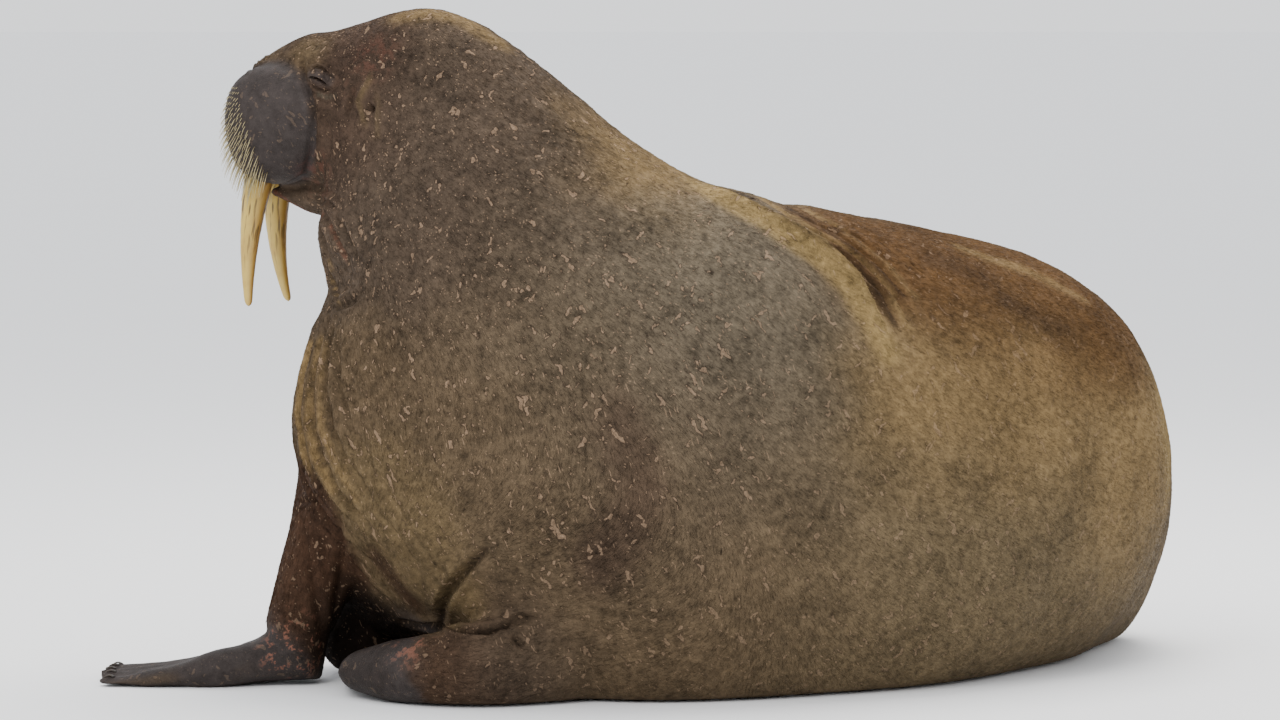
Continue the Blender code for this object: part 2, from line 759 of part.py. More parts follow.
FAR_HAND = [
    (-0.772, -0.030, 0.125, 0.084, 0.078, 0, -80),
    (-0.780, -0.030, 0.062, 0.094, 0.084, 0, -48),
    (-0.860, -0.024, 0.050, 0.106, 0.050, -3, -10),
    (-0.960, -0.012, 0.031, 0.125, 0.033, -6, -5),
    (-1.080, 0.006, 0.016, 0.145, 0.018, -8, -2),
    (-1.188, 0.022, 0.008, 0.150, 0.009, -9, 0),
]
NEAR_HAND = [
    (-0.545, -0.345, 0.066, 0.080, 0.070, -30, 0),
    (-0.580, -0.288, 0.062, 0.092, 0.056, -70, 0),
    (-0.578, -0.205, 0.044, 0.100, 0.042, -98, -8),
    (-0.565, -0.105, 0.028, 0.112, 0.028, -102, -6),
    (-0.545, 0.000, 0.015, 0.118, 0.017, -104, -3),
    (-0.525, 0.080, 0.007, 0.118, 0.008, -105, 0),
]
HAND_STEPS = [1, 1, 2, 2, 2]
FAR_TIPS = (0.012, 0.024, 0.040, 0.048, 0.056)
NEAR_TIPS = (0.056, 0.048, 0.040, 0.024, 0.012)
HIND_TIPS = (0.055, 0.022, 0.010, 0.022, 0.055)

LEFT_HIND = [
    (1.020, 0.850, 0.110, 0.095, 0.085, -96, -12),
    (1.030, 0.940, 0.078, 0.092, 0.064, -94, -14),
    (1.040, 1.040, 0.042, 0.105, 0.036, -92, -9),
    (1.045, 1.150, 0.020, 0.135, 0.020, -91, -4),
    (1.048, 1.250, 0.007, 0.150, 0.008, -91, 0),
]
RIGHT_HIND = [
    (0.810, 0.860, 0.110, 0.095, 0.085, -74, -12),
    (0.780, 0.950, 0.078, 0.092, 0.064, -72, -14),
    (0.740, 1.045, 0.042, 0.105, 0.036, -71, -9),
    (0.705, 1.150, 0.020, 0.135, 0.020, -70, -4),
    (0.674, 1.245, 0.007, 0.150, 0.008, -70, 0),
]
HIND_STEPS = [1, 2, 2, 2]


def add_flippers(parts, skin):
    """Forearms, hands, hind flippers and tail, each cut clear of the trunk it grows from."""
    trunk = [parts["chest"], parts["belly"], parts["hips"]]
    made = {}
    far_arm = loft(
        "forearm_right",
        [
            Station(-0.600, 0.090, 0.640, 0.120, 0.200, 0.160, 0.160, yaw=15, pitch=-65),
            Station(-0.695, 0.030, 0.460, 0.078, 0.180, 0.135, 0.130, yaw=10, pitch=-75),
            Station(-0.744, -0.010, 0.300, 0.064, 0.140, 0.105, 0.105, yaw=5, pitch=-82),
            Station(-0.772, -0.030, 0.1255, 0.078, 0.080, 0.084, 0.084, yaw=0, pitch=-80),
        ],
        [3, 3, 3], 20, 0.05, 0.0, skin, cap_rings=3,
    )
    near_arm = loft(
        "forearm_left",
        [
            Station(0.000, -0.250, 0.240, 0.120, 0.160, 0.100, 0.100, yaw=16, pitch=-18),
            Station(-0.200, -0.350, 0.135, 0.100, 0.160, 0.108, 0.105, yaw=12, pitch=-14),
            Station(-0.360, -0.415, 0.095, 0.086, 0.110, 0.100, 0.095, yaw=-4, pitch=-10),
            Station(-0.470, -0.395, 0.075, 0.076, 0.085, 0.088, 0.084, yaw=-18, pitch=-4),
            Station(-0.5447, -0.3452, 0.066, 0.070, 0.070, 0.080, 0.080, yaw=-30, pitch=0),
        ],
        [3, 3, 3, 2], 22, 0.05, 0.0, skin, cap_rings=3,
    )
    made["hand_right"] = paddle("hand_right", FAR_HAND, HAND_STEPS, FAR_TIPS, 0.007, skin)
    made["hand_left"] = paddle("hand_left", NEAR_HAND, HAND_STEPS, NEAR_TIPS, 0.007, skin)
    made["hindflipper_left"] = paddle("hindflipper_left", LEFT_HIND, HIND_STEPS, HIND_TIPS, 0.007, skin)
    made["hindflipper_right"] = paddle("hindflipper_right", RIGHT_HIND, HIND_STEPS, HIND_TIPS, 0.007, skin)
    made["tail"] = blob("tail", Vector((1.105, 0.945, 0.190)), (0.105, 0.055, 0.032), facing(-122, -28), skin, segments=16, rings=10)
    made["forearm_right"] = far_arm
    made["forearm_left"] = near_arm
    for body in made.values():
        boolean(body, floor_block("floor"), "DIFFERENCE")
        for other in trunk:
            boolean(body, inflated_copy(other, "room", ROOM), "DIFFERENCE")
        keep_largest(body)
    boolean(far_arm, inflated_copy(made["hand_right"], "room", ROOM), "DIFFERENCE")
    boolean(near_arm, inflated_copy(made["hand_left"], "room", ROOM), "DIFFERENCE")
    keep_largest(far_arm)
    keep_largest(near_arm)
    add_claws(made["hand_right"], FAR_HAND, FAR_TIPS, skin)
    add_claws(made["hand_left"], NEAR_HAND, NEAR_TIPS, skin)
    add_claws(made["hindflipper_left"], LEFT_HIND, HIND_TIPS, skin, 0.9)
    add_claws(made["hindflipper_right"], RIGHT_HIND, HIND_TIPS, skin, 0.9)
    return made


def finish_parts():
    """Shifts every part so that the middle of the footprint is the origin, and shades it."""
    bodies = list(bpy.data.objects)
    every = np.concatenate([points_of(body) for body in bodies])
    middle = (every.min(axis=0) + every.max(axis=0)) / 2
    middle[2] = FLOOR
    for body in bodies:
        set_points(body, points_of(body) - middle)
        for face in body.data.polygons:
            face.use_smooth = True


def main():
    clear_scene()
    skin = material("skin", SKIN, 0.75)
    flipper_skin = material("flipper_skin", FLIPPER_SKIN, 0.6)
    lip_skin = material("lip_skin", LIP_SKIN, 0.55)
    ivory = material("ivory", IVORY, 0.4)
    black = material("eye_black", EYE_BLACK, 0.1)

    whole = build_trunk(skin)
    parts = part_trunk(whole)
    bpy.data.objects.remove(whole)
    head = parts["head"]
    tusks = {side: add_tusk(side, ivory) for side in (1, -1)}
    muzzle = copy_of(head, "muzzle")
    for side in (1, -1):
        boolean(head, inflated_copy(tusks[side], "room", ROOM), "DIFFERENCE")
        add_eye(head, side, skin, black)
        add_ear(head, side, skin)
        add_nostril(head, side)
    keep_largest(head)
    plain = [add_pad(side, [muzzle, tusks[side]], lip_skin, False) for side in (1, -1)]
    jaw = add_jaw([muzzle, parts["neck"], *tusks.values(), *plain], lip_skin)
    for pad in plain:
        bpy.data.objects.remove(pad)
    for side in (1, -1):
        add_pad(side, [muzzle, tusks[side], jaw], lip_skin, True)
    bpy.data.objects.remove(muzzle)
    add_flippers(parts, flipper_skin)
    finish_parts()


main()
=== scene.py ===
"""A life-size bull walrus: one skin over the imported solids, with its eyes, tusks, bristles and coat.

Metres, +Z up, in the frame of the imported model. The head looks towards -X and the camera sees the
left flank, on -Y. Places on that flank are given as pixels of the photograph, 1280 by 720, and are
found on the skin along the camera's own rays.
"""

import logging
import math
from dataclasses import dataclass
from enum import Enum

import bpy
import numpy as np
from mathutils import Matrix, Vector
from mathutils.bvhtree import BVHTree


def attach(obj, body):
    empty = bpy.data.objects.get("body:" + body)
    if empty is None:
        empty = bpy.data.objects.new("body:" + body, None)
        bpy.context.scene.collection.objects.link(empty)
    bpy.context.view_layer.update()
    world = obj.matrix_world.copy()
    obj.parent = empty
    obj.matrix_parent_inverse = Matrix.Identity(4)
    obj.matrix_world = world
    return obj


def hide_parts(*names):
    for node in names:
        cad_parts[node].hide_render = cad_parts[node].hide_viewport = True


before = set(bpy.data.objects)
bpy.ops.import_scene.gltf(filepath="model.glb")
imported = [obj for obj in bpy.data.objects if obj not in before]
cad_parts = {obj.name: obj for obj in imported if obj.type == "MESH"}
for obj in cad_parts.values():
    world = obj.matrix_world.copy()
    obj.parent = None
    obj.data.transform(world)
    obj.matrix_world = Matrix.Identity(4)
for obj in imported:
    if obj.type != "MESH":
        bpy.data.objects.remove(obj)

LOG = logging.getLogger("walrus")
BODY = "root"
FLOOR_CLEARANCE = 0.0006

Place = tuple[float, float, float]
Pixel = tuple[float, float]
Colour = tuple[float, float, float]


def paint(red: int, green: int, blue: int) -> Colour:
    """Turns a colour as seen on a screen, 0 to 255, into the linear one that shaders take."""
    parts = [v / 255 for v in (red, green, blue)]
    linear = [v / 12.92 if v <= 0.04045 else ((v + 0.055) / 1.055) ** 2.4 for v in parts]
    return (linear[0], linear[1], linear[2])


# The animal's own directions


SHIFT = Vector((0.0204, 0.3918, 0.0))
EAR_MIDDLE = Vector((-0.541, 0.025, 1.296)) - SHIFT
HEAD_YAW = math.radians(-20.0)
HEAD_FORWARD = Vector((-math.cos(HEAD_YAW), -math.sin(HEAD_YAW), 0.0))
HEAD_LEFT = Vector((math.sin(HEAD_YAW), -math.cos(HEAD_YAW), 0.0))
UP = Vector((0.0, 0.0, 1.0))


def head_point(ahead: float, left: float, above: float) -> Vector:
    """Gives a place by its distances from the middle between the ears."""
    return EAR_MIDDLE + HEAD_FORWARD * ahead + HEAD_LEFT * left + UP * above


class Side(Enum):
    """The animal's left and right, with the sign that mirrors one into the other."""

    LEFT = 1
    RIGHT = -1

    @property
    def word(self) -> str:
        """The side's name as the nodes spell it."""
        return self.name.lower()


# Shader nodes


class Signal:
    """A shader socket that takes arithmetic, so that shader maths reads as expressions."""

    def __init__(self, shader: "Shader", socket: bpy.types.NodeSocket) -> None:
        """Keeps the socket and the shader it belongs to."""
        self.shader = shader
        self.socket = socket

    def _math(self, operation: str, first: "Signal | float", second: "Signal | float") -> "Signal":
        """Adds one Math node.

        Args:
            operation: the node's operation.
            first: its first value.
            second: its second value.

        Returns:
            The result.
        """
        node = self.shader.node("ShaderNodeMath", {"operation": operation}, {0: first, 1: second})
        return Signal(self.shader, node.outputs[0])

    def __add__(self, other: "Signal | float") -> "Signal":
        """Sum."""
        return self._math("ADD", self, other)

    __radd__ = __add__

    def __sub__(self, other: "Signal | float") -> "Signal":
        """Difference."""
        return self._math("SUBTRACT", self, other)

    def __rsub__(self, other: "Signal | float") -> "Signal":
        """Difference from a number."""
        return self._math("SUBTRACT", other, self)

    def __mul__(self, other: "Signal | float") -> "Signal":
        """Product."""
        return self._math("MULTIPLY", self, other)

    __rmul__ = __mul__

    def highest(self, other: "Signal | float") -> "Signal":
        """The larger of the two."""
        return self._math("MAXIMUM", self, other)


class Shader:
    """Builds the nodes of one material."""

    def __init__(self, name: str) -> None:
        """Starts from a Principled surface."""
        self.material = bpy.data.materials.new(name)
        self.material.use_nodes = True
        self.tree = self.material.node_tree
        self.surface = self.tree.nodes["Principled BSDF"]

    def node(
        self, kind: str, settings: dict[str, object], inputs: dict[object, object]
    ) -> bpy.types.Node:
        """Adds a node.

        Args:
            kind: the node's type.
            settings: its own settings.
            inputs: values or signals for its sockets, by index or name.

        Returns:
            The node.
        """
        made = self.tree.nodes.new(kind)
        for key, value in settings.items():
            setattr(made, key, value)
        for key, value in inputs.items():
            self.feed(made.inputs[key], value)
        return made

    def feed(self, socket: bpy.types.NodeSocket, value: object) -> None:
        """Links a signal to a socket, or sets its number or colour."""
        if isinstance(value, Signal):
            self.tree.links.new(value.socket, socket)
        elif isinstance(value, tuple) and len(value) == 3 and socket.type == "RGBA":
            socket.default_value = (*value, 1.0)
        else:
            socket.default_value = value

    def dress(self, **inputs: object) -> None:
        """Sets inputs of the surface, whose names are written with underscores."""
        for key, value in inputs.items():
            self.feed(self.surface.inputs[key.replace("_", " ")], value)

    def coordinates(self) -> Signal:
        """The place on the object, in metres."""
        return Signal(self, self.node("ShaderNodeTexCoord", {}, {}).outputs["Object"])

    def attribute(self, name: str, output: str) -> Signal:
        """A value painted on the mesh: its "Color" or its "Fac"."""
        node = self.node("ShaderNodeAttribute", {"attribute_name": name}, {})
        return Signal(self, node.outputs[output])

    def grain(self, place: Signal, size: Place, turn: Place) -> Signal:
        """Turns and stretches a place so that one unit of it is size metres long each way."""
        inputs = {"Vector": place, "Scale": size, "Rotation": turn}
        node = self.node("ShaderNodeMapping", {"vector_type": "TEXTURE"}, inputs)
        return Signal(self, node.outputs[0])

    def noise(self, place: Signal, scale: float, detail: float = 2.0, rough: float = 0.5) -> Signal:
        """Smooth noise from 0 to 1."""
        inputs = {"Vector": place, "Scale": scale, "Detail": detail, "Roughness": rough}
        return Signal(self, self.node("ShaderNodeTexNoise", {}, inputs).outputs[0])

    def cells(self, place: Signal, scale: float, feature: str = "F1") -> Signal:
        """Distance to the middle or the edge of scattered cells."""
        inputs = {"Vector": place, "Scale": scale}
        node = self.node("ShaderNodeTexVoronoi", {"feature": feature}, inputs)
        return Signal(self, node.outputs[0])

    def stray(self, place: Signal, scale: float, reach: float) -> Signal:
        """Pushes a place about by up to reach metres, so that patterns on it turn uneven."""
        noise = self.node("ShaderNodeTexNoise", {}, {"Vector": place, "Scale": scale, "Detail": 2.0})
        centred = self.node(
            "ShaderNodeVectorMath",
            {"operation": "SUBTRACT"},
            {0: Signal(self, noise.outputs[1]), 1: (0.5, 0.5, 0.5)},
        )
        pushed = self.node(
            "ShaderNodeVectorMath",
            {"operation": "MULTIPLY_ADD"},
            {0: Signal(self, centred.outputs[0]), 1: (reach, reach, reach), 2: place},
        )
        return Signal(self, pushed.outputs[0])

    def flecks(self, place: Signal, size: Place, turn: Place, share: float, reach: float) -> Signal:
        """Scattered uneven streaks.

        Args:
            place: where to read them.
            size: the length and breadths of one cell, in metres.
            turn: the cells' direction.
            share: how many of the cells hold a streak.
            reach: the largest streak's half size, as a share of its cell.

        Returns:
            Above 0 inside a streak, up to reach, and below 0 outside.
        """
        inputs = {"Vector": self.grain(place, size, turn), "Scale": 1.0}
        node = self.node("ShaderNodeTexVoronoi", {}, inputs)
        draw = self.node("ShaderNodeSeparateColor", {}, {0: Signal(self, node.outputs[1])})
        chance = self.band(Signal(self, draw.outputs[0]), 1.0 - share, 1.0)
        return chance * reach - Signal(self, node.outputs[0])

    def band(self, value: Signal, low: float, high: float) -> Signal:
        """Rises smoothly from 0 at low to 1 at high, or falls if low is the larger."""
        node = self.node(
            "ShaderNodeMapRange",
            {"interpolation_type": "SMOOTHSTEP"},
            {0: value, 1: low, 2: high, 3: 0.0, 4: 1.0},
        )
        return Signal(self, node.outputs[0])

    def blend(self, share: object, first: object, second: object, way: str = "MIX") -> Signal:
        """Mixes two colours."""
        settings = {"data_type": "RGBA", "blend_type": way}
        node = self.node("ShaderNodeMix", settings, {0: share, 6: first, 7: second})
        return Signal(self, node.outputs[2])

    def bump(self, height: Signal, depth: float, strength: float = 1.0) -> Signal:
        """A normal that follows height, depth metres from 0 to 1."""
        inputs = {"Height": height, "Distance": depth, "Strength": strength}
        node = self.node("ShaderNodeBump", {}, inputs)
        return Signal(self, node.outputs[0])


# Finishes


@dataclass(frozen=True)
class HideFinish:
    """Thick hide under short flat hair, scarred and mottled, or bare and leathery."""

    name: str = "hide"
    scar: Colour = paint(154, 128, 104)
    rim: Colour = paint(40, 30, 24)
    flesh: Colour = paint(128, 84, 68)
    flush: Colour = paint(86, 46, 36)
    hair_size: Place = (0.014, 0.0016, 0.0016)
    hair_turn: Place = (0.0, math.radians(40.0), math.radians(10.0))
    leather_size: Place = (0.008, 0.0045, 0.0045)
    leather_turn: Place = (0.0, 0.6, 0.0)
    relief: float = 0.0028

    def scars(self, shader: Shader, place: Signal) -> Signal:
        """Healed gashes as long uneven streaks in two directions: above 0 inside one."""
        bent = shader.stray(place, 42.0, 0.030)
        found = None
        for size, turn, share, reach in (
            ((0.090, 0.0150, 0.0150), (0.3, 0.95, 0.2), 0.34, 0.36),
            ((0.064, 0.0130, 0.0130), (1.2, -0.7, 0.9), 0.28, 0.36),
        ):
            streak = shader.flecks(bent, size, turn, share, reach)
            found = streak if found is None else found.highest(streak)
        return found

    def nicks(self, shader: Shader, place: Signal) -> Signal:
        """Small pale nicks, close together: above 0 inside one."""
        bent = shader.stray(place, 120.0, 0.004)
        upright = shader.flecks(bent, (0.040, 0.0046, 0.0046), (0.2, 1.25, 0.0), 0.34, 0.34)
        slanted = shader.flecks(bent, (0.016, 0.0050, 0.0050), (0.9, 0.35, 0.6), 0.34, 0.36)
        return upright.highest(slanted)

    def make(self) -> bpy.types.Material:
        """Builds the material."""
        shader = Shader(self.name)
        place = shader.coordinates()
        tone = shader.attribute("tone", "Color")
        bare = shader.attribute("bare", "Fac")
        worn = shader.attribute("worn", "Fac")
        raw = shader.attribute("raw", "Fac")
        blush = shader.attribute("blush", "Fac")
        mottle = shader.noise(place, 46.0, 4.0, 0.66)
        patch = shader.noise(place, 6.0, 3.0, 0.55)
        grit = shader.noise(place, 300.0, 1.0, 0.6)
        hair = shader.noise(shader.grain(place, self.hair_size, self.hair_turn), 1.0, 1.0, 0.6)
        scars = self.scars(shader, place)
        nicks = self.nicks(shader, place)
        gash = shader.band(scars, 0.0, 0.07)
        edge = shader.band(scars, -0.14, 0.0) * (1.0 - gash)
        nick = shader.band(nicks, 0.0, 0.12)

        light = 1.34 * mottle + 1.10 * patch - 0.22 + worn * (0.70 * mottle - 0.35)
        light = (light + (0.60 * hair - 0.30) * (1.0 - bare) + (0.44 * grit - 0.22)).highest(0.22)
        grey = shader.node("ShaderNodeCombineColor", {}, {0: light, 1: light, 2: light})
        colour = shader.blend(1.0, tone, Signal(shader, grey.outputs[0]), "MULTIPLY")
        colour = shader.blend(blush * shader.band(mottle, 0.44, 0.62) * 0.42, colour, self.flush)
        colour = shader.blend(worn * edge * 0.55, colour, self.rim)
        colour = shader.blend(worn * nick * (0.18 + 0.62 * grit), colour, self.scar)
        colour = shader.blend(worn * gash * (0.20 + 0.60 * grit), colour, self.scar)
        sore = raw * shader.band(mottle, 0.54, 0.61) * (0.4 + 0.5 * grit)
        colour = shader.blend(sore, colour, self.flesh)
        scales = shader.grain(place, self.leather_size, self.leather_turn)
        crease = shader.band(shader.cells(scales, 1.0, "DISTANCE_TO_EDGE"), 0.16, 0.0)
        height = hair * 0.40 * (1.0 - bare) + mottle * 0.80 + grit * 0.26 - crease * 0.16 * bare
        shader.dress(
            Base_Color=colour,
            Roughness=0.80 - 0.20 * bare - 0.06 * mottle,
            Specular_IOR_Level=0.09,
            Normal=shader.bump(height, self.relief, 0.85),
        )
        return shader.material


@dataclass(frozen=True)
class IvoryFinish:
    """Cream tusk with long cracks that fade towards the tip, growth rings and honey streaks."""

    name: str = "ivory"
    cream: Colour = paint(194, 165, 80)
    honey: Colour = paint(140, 98, 44)
    crack: Colour = paint(60, 40, 22)
    streak_size: Place = (0.030, 0.9, 1.0)
    crack_size: Place = (0.012, 0.22, 1.0)
    ring_size: Place = (2.0, 0.028, 1.0)

    def make(self) -> bpy.types.Material:
        """Builds the material from the tusk's own map: round it, and down it from the root."""
        shader = Shader(self.name)
        along = shader.attribute("along", "Fac")
        shade = shader.attribute("shade", "Fac")
        around = Signal(shader, shader.node("ShaderNodeUVMap", {"uv_map": "grow"}, {}).outputs[0])
        place = shader.coordinates()
        unturned = (0.0, 0.0, 0.0)
        streak = shader.noise(shader.grain(around, self.streak_size, unturned), 1.0, 3.0, 0.6)
        thread = shader.noise(shader.grain(around, self.crack_size, unturned), 1.0, 2.0, 0.5)
        growth = shader.noise(shader.grain(around, self.ring_size, unturned), 1.0, 2.0)
        cloud = shader.noise(place, 26.0, 3.0)
        cracks = shader.band(thread, 0.53, 0.62) * shader.band(along, 0.95, 0.30)
        colour = shader.blend(shader.band(cloud, 0.35, 0.75) * 0.35, self.cream, self.honey)
        colour = shader.blend(shade * 0.80, colour, self.honey)
        colour = shader.blend(shader.band(streak, 0.52, 0.72) * 0.50, colour, self.honey)
        colour = shader.blend(cracks * 0.85, colour, self.crack)
        height = growth * 0.4 + streak * 0.5 - cracks * 0.9
        shader.dress(
            Base_Color=colour,
            Roughness=0.34 + 0.20 * cloud,
            Subsurface_Weight=0.08,
            Subsurface_Radius=(0.012, 0.008, 0.005),
            Subsurface_Scale=0.5,
            Normal=shader.bump(height, 0.0012, 0.7),
        )
        return shader.material


@dataclass(frozen=True)
class EyeFinish:
    """Wet dark brown eye with a black pupil and a reddened white at its rim."""

    name: str = "eye"
    pupil: Colour = (0.004, 0.003, 0.003)
    iris: Colour = (0.030, 0.014, 0.008)
    white: Colour = (0.28, 0.16, 0.13)

    def make(self) -> bpy.types.Material:
        """Builds the material."""
        shader = Shader(self.name)
        off_axis = shader.attribute("off_axis", "Fac")
        veins = shader.noise(shader.coordinates(), 300.0, 3.0)
        colour = shader.blend(shader.band(off_axis, 0.30, 0.36), self.pupil, self.iris)
        rim = shader.band(off_axis, 0.80, 0.95) * (0.6 + 0.4 * veins)
        shader.dress(
            Base_Color=shader.blend(rim, colour, self.white),
            Roughness=0.06 + 0.03 * veins,
            Coat_Weight=0.6,
            Coat_Roughness=0.02,
        )
        return shader.material


@dataclass(frozen=True)
class HornFinish:
    """Horn of bristles and claws, pale at one end and dark at the other."""

    name: str = "horn"
    pale: Colour = paint(180, 166, 124)
    dark: Colour = paint(84, 70, 44)
    roughness: float = 0.45

    def make(self) -> bpy.types.Material:
        """Builds the material; "along" runs from 0 at the root to 1 at the tip."""
        shader = Shader(self.name)
        along = shader.attribute("along", "Fac")
        fleck = shader.noise(shader.coordinates(), 120.0, 2.0)
        share = shader.band(along + (fleck - 0.5) * 0.8, 0.0, 0.6)
        colour = shader.blend(share, self.dark, self.pale)
        shader.dress(
            Base_Color=colour,
            Roughness=self.roughness + 0.15 * fleck,
            Normal=shader.bump(fleck, 0.0003, 0.5),
        )
        return shader.material


@dataclass(frozen=True)
class FloorFinish:
    """Plain pale studio floor."""

    name: str = "studio_floor"
    colour: Colour = (0.955, 0.96, 0.965)
    shade: Colour = (0.94, 0.945, 0.955)

    def make(self) -> bpy.types.Material:
        """Builds the material."""
        shader = Shader(self.name)
        cloud = shader.noise(shader.coordinates(), 0.6, 2.0)
        shader.dress(Base_Color=shader.blend(cloud, self.colour, self.shade), Roughness=0.85)
        return shader.material


# Meshes as arrays


def read_points(thing: bpy.types.Object) -> np.ndarray:
    """The mesh's points, one row each."""
    flat = np.empty(len(thing.data.vertices) * 3)
    thing.data.vertices.foreach_get("co", flat)
    return flat.reshape(-1, 3)


def read_normals(thing: bpy.types.Object) -> np.ndarray:
    """The mesh's point normals, one row each."""
    flat = np.empty(len(thing.data.vertices) * 3)
    thing.data.vertices.foreach_get("normal", flat)
    return flat.reshape(-1, 3)


def write_points(thing: bpy.types.Object, points: np.ndarray) -> None:
    """Moves the mesh's points."""
    thing.data.vertices.foreach_set("co", points.ravel())
    thing.data.update()


def read_triangles(thing: bpy.types.Object) -> np.ndarray:
    """The mesh's triangles, one row of three point numbers each."""
    thing.data.calc_loop_triangles()
    flat = np.empty(len(thing.data.loop_triangles) * 3, np.int32)
    thing.data.loop_triangles.foreach_get("vertices", flat)
    return flat.reshape(-1, 3)


def add_mesh(name: str, points: np.ndarray, triangles: np.ndarray) -> bpy.types.Object:
    """Makes a smooth object of triangles.

    Args:
        name: the piece's name.
        points: one row for each point.
        triangles: one row of three point numbers for each face.

    Returns:
        The object, at the origin.
    """
    mesh = bpy.data.meshes.new(name)
    mesh.vertices.add(len(points))
    mesh.vertices.foreach_set("co", np.ascontiguousarray(points, dtype=np.float32).ravel())
    mesh.loops.add(len(triangles) * 3)
    mesh.loops.foreach_set("vertex_index", np.ascontiguousarray(triangles, dtype=np.int32).ravel())
    mesh.polygons.add(len(triangles))
    mesh.polygons.foreach_set("loop_start", np.arange(0, len(triangles) * 3, 3, dtype=np.int32))
    mesh.polygons.foreach_set("use_smooth", np.full(len(triangles), True))
    mesh.update(calc_edges=True)
    mesh.validate()
    made = bpy.data.objects.new(name, mesh)
    bpy.context.scene.collection.objects.link(made)
    return made


def paint_points(thing: bpy.types.Object, name: str, values: np.ndarray) -> None:
    """Keeps a number or a colour for each point under a name that shaders can read."""
    if values.ndim == 1:
        layer = thing.data.attributes.new(name, "FLOAT", "POINT")
        layer.data.foreach_set("value", values.astype(np.float32))
        return
    layer = thing.data.attributes.new(name, "FLOAT_COLOR", "POINT")
    rgba = np.ones((len(values), 4), np.float32)
    rgba[:, :3] = values
    layer.data.foreach_set("color", rgba.ravel())


def only(thing: bpy.types.Object) -> None:
    """Makes this the one selected and active object."""
    bpy.ops.object.select_all(action="DESELECT")
    thing.select_set(True)
    bpy.context.view_layer.objects.active = thing


def apply(thing: bpy.types.Object, kind: str, **settings: object) -> None:
    """Adds a modifier with its settings and applies it."""
    only(thing)
    step = thing.modifiers.new("step", kind)
    for key, value in settings.items():
        setattr(step, key, value)
    bpy.ops.object.modifier_apply(modifier=step.name)


def ease(value: np.ndarray) -> np.ndarray:
    """Smooth step from 0 to 1."""
    held = np.clip(value, 0.0, 1.0)
    return held * held * (3.0 - 2.0 * held)


@dataclass(frozen=True)
class Lumps:
    """Smooth random relief that is the same on every run."""

    seed: int

    def _corner(self, cell: np.ndarray) -> np.ndarray:
        """A number from -1 to 1 for each whole-numbered place."""
        mixed = cell[:, 0] * 73856093 ^ cell[:, 1] * 19349663 ^ cell[:, 2] * 83492791
        mixed ^= self.seed * 2654435
        mixed = ((mixed ^ (mixed >> 13)) * 1274126177) & 0xFFFFFFFF
        return ((mixed ^ (mixed >> 15)) & 0xFFFF) / 32767.5 - 1.0

    def at(self, points: np.ndarray, size: float | Place) -> np.ndarray:
        """Reads the relief.

        Args:
            points: the places.
            size: how far apart the lumps are, in metres, the same or different along each axis.

        Returns:
            A number from -1 to 1 for each place.
        """
        spread = points / np.array(size)
        cell = np.floor(spread).astype(np.int64)
        share = ease(spread - cell)
        total = np.zeros(len(points))
        for corner in range(8):
            step = np.array([corner & 1, corner >> 1 & 1, corner >> 2 & 1])
            weight = np.prod(np.where(step, share, 1.0 - share), axis=1)
            total += weight * self._corner(cell + step)
        return total


# The camera of the photograph


@dataclass(frozen=True)
class PhotoView:
    """Where the photograph was taken from, and how a pixel of it reads as a ray."""

    stand: Place = (-0.0204, -11.8818, 1.484)
    tilt: float = math.radians(-3.77)
    focal: float = 5107.0
    width: int = 1280
    height: int = 720
    sensor: float = 36.0

    def ray(self, pixel: Pixel) -> tuple[Vector, Vector]:
        """The start and direction of the line that a pixel sees."""
        across = (pixel[0] - self.width / 2) / self.focal
        rise = (self.height / 2 - pixel[1]) / self.focal
        ahead = Vector((0.0, math.cos(self.tilt), math.sin(self.tilt)))
        upper = Vector((0.0, -math.sin(self.tilt), math.cos(self.tilt)))
        return Vector(self.stand), (ahead + Vector((across, 0.0, 0.0)) + upper * rise).normalized()

    def add_camera(self) -> None:
        """Sets up the camera with the photograph's framing."""
        lens = bpy.data.cameras.new("camera")
        lens.sensor_width = self.sensor
        lens.lens = self.focal * self.sensor / self.width
        lens.clip_end = 3000.0
        camera = bpy.data.objects.new("camera", lens)
        camera.location = self.stand
        camera.rotation_euler = (math.pi / 2 + self.tilt, 0.0, 0.0)
        bpy.context.scene.collection.objects.link(camera)
        bpy.context.scene.camera = camera


PHOTO = PhotoView()


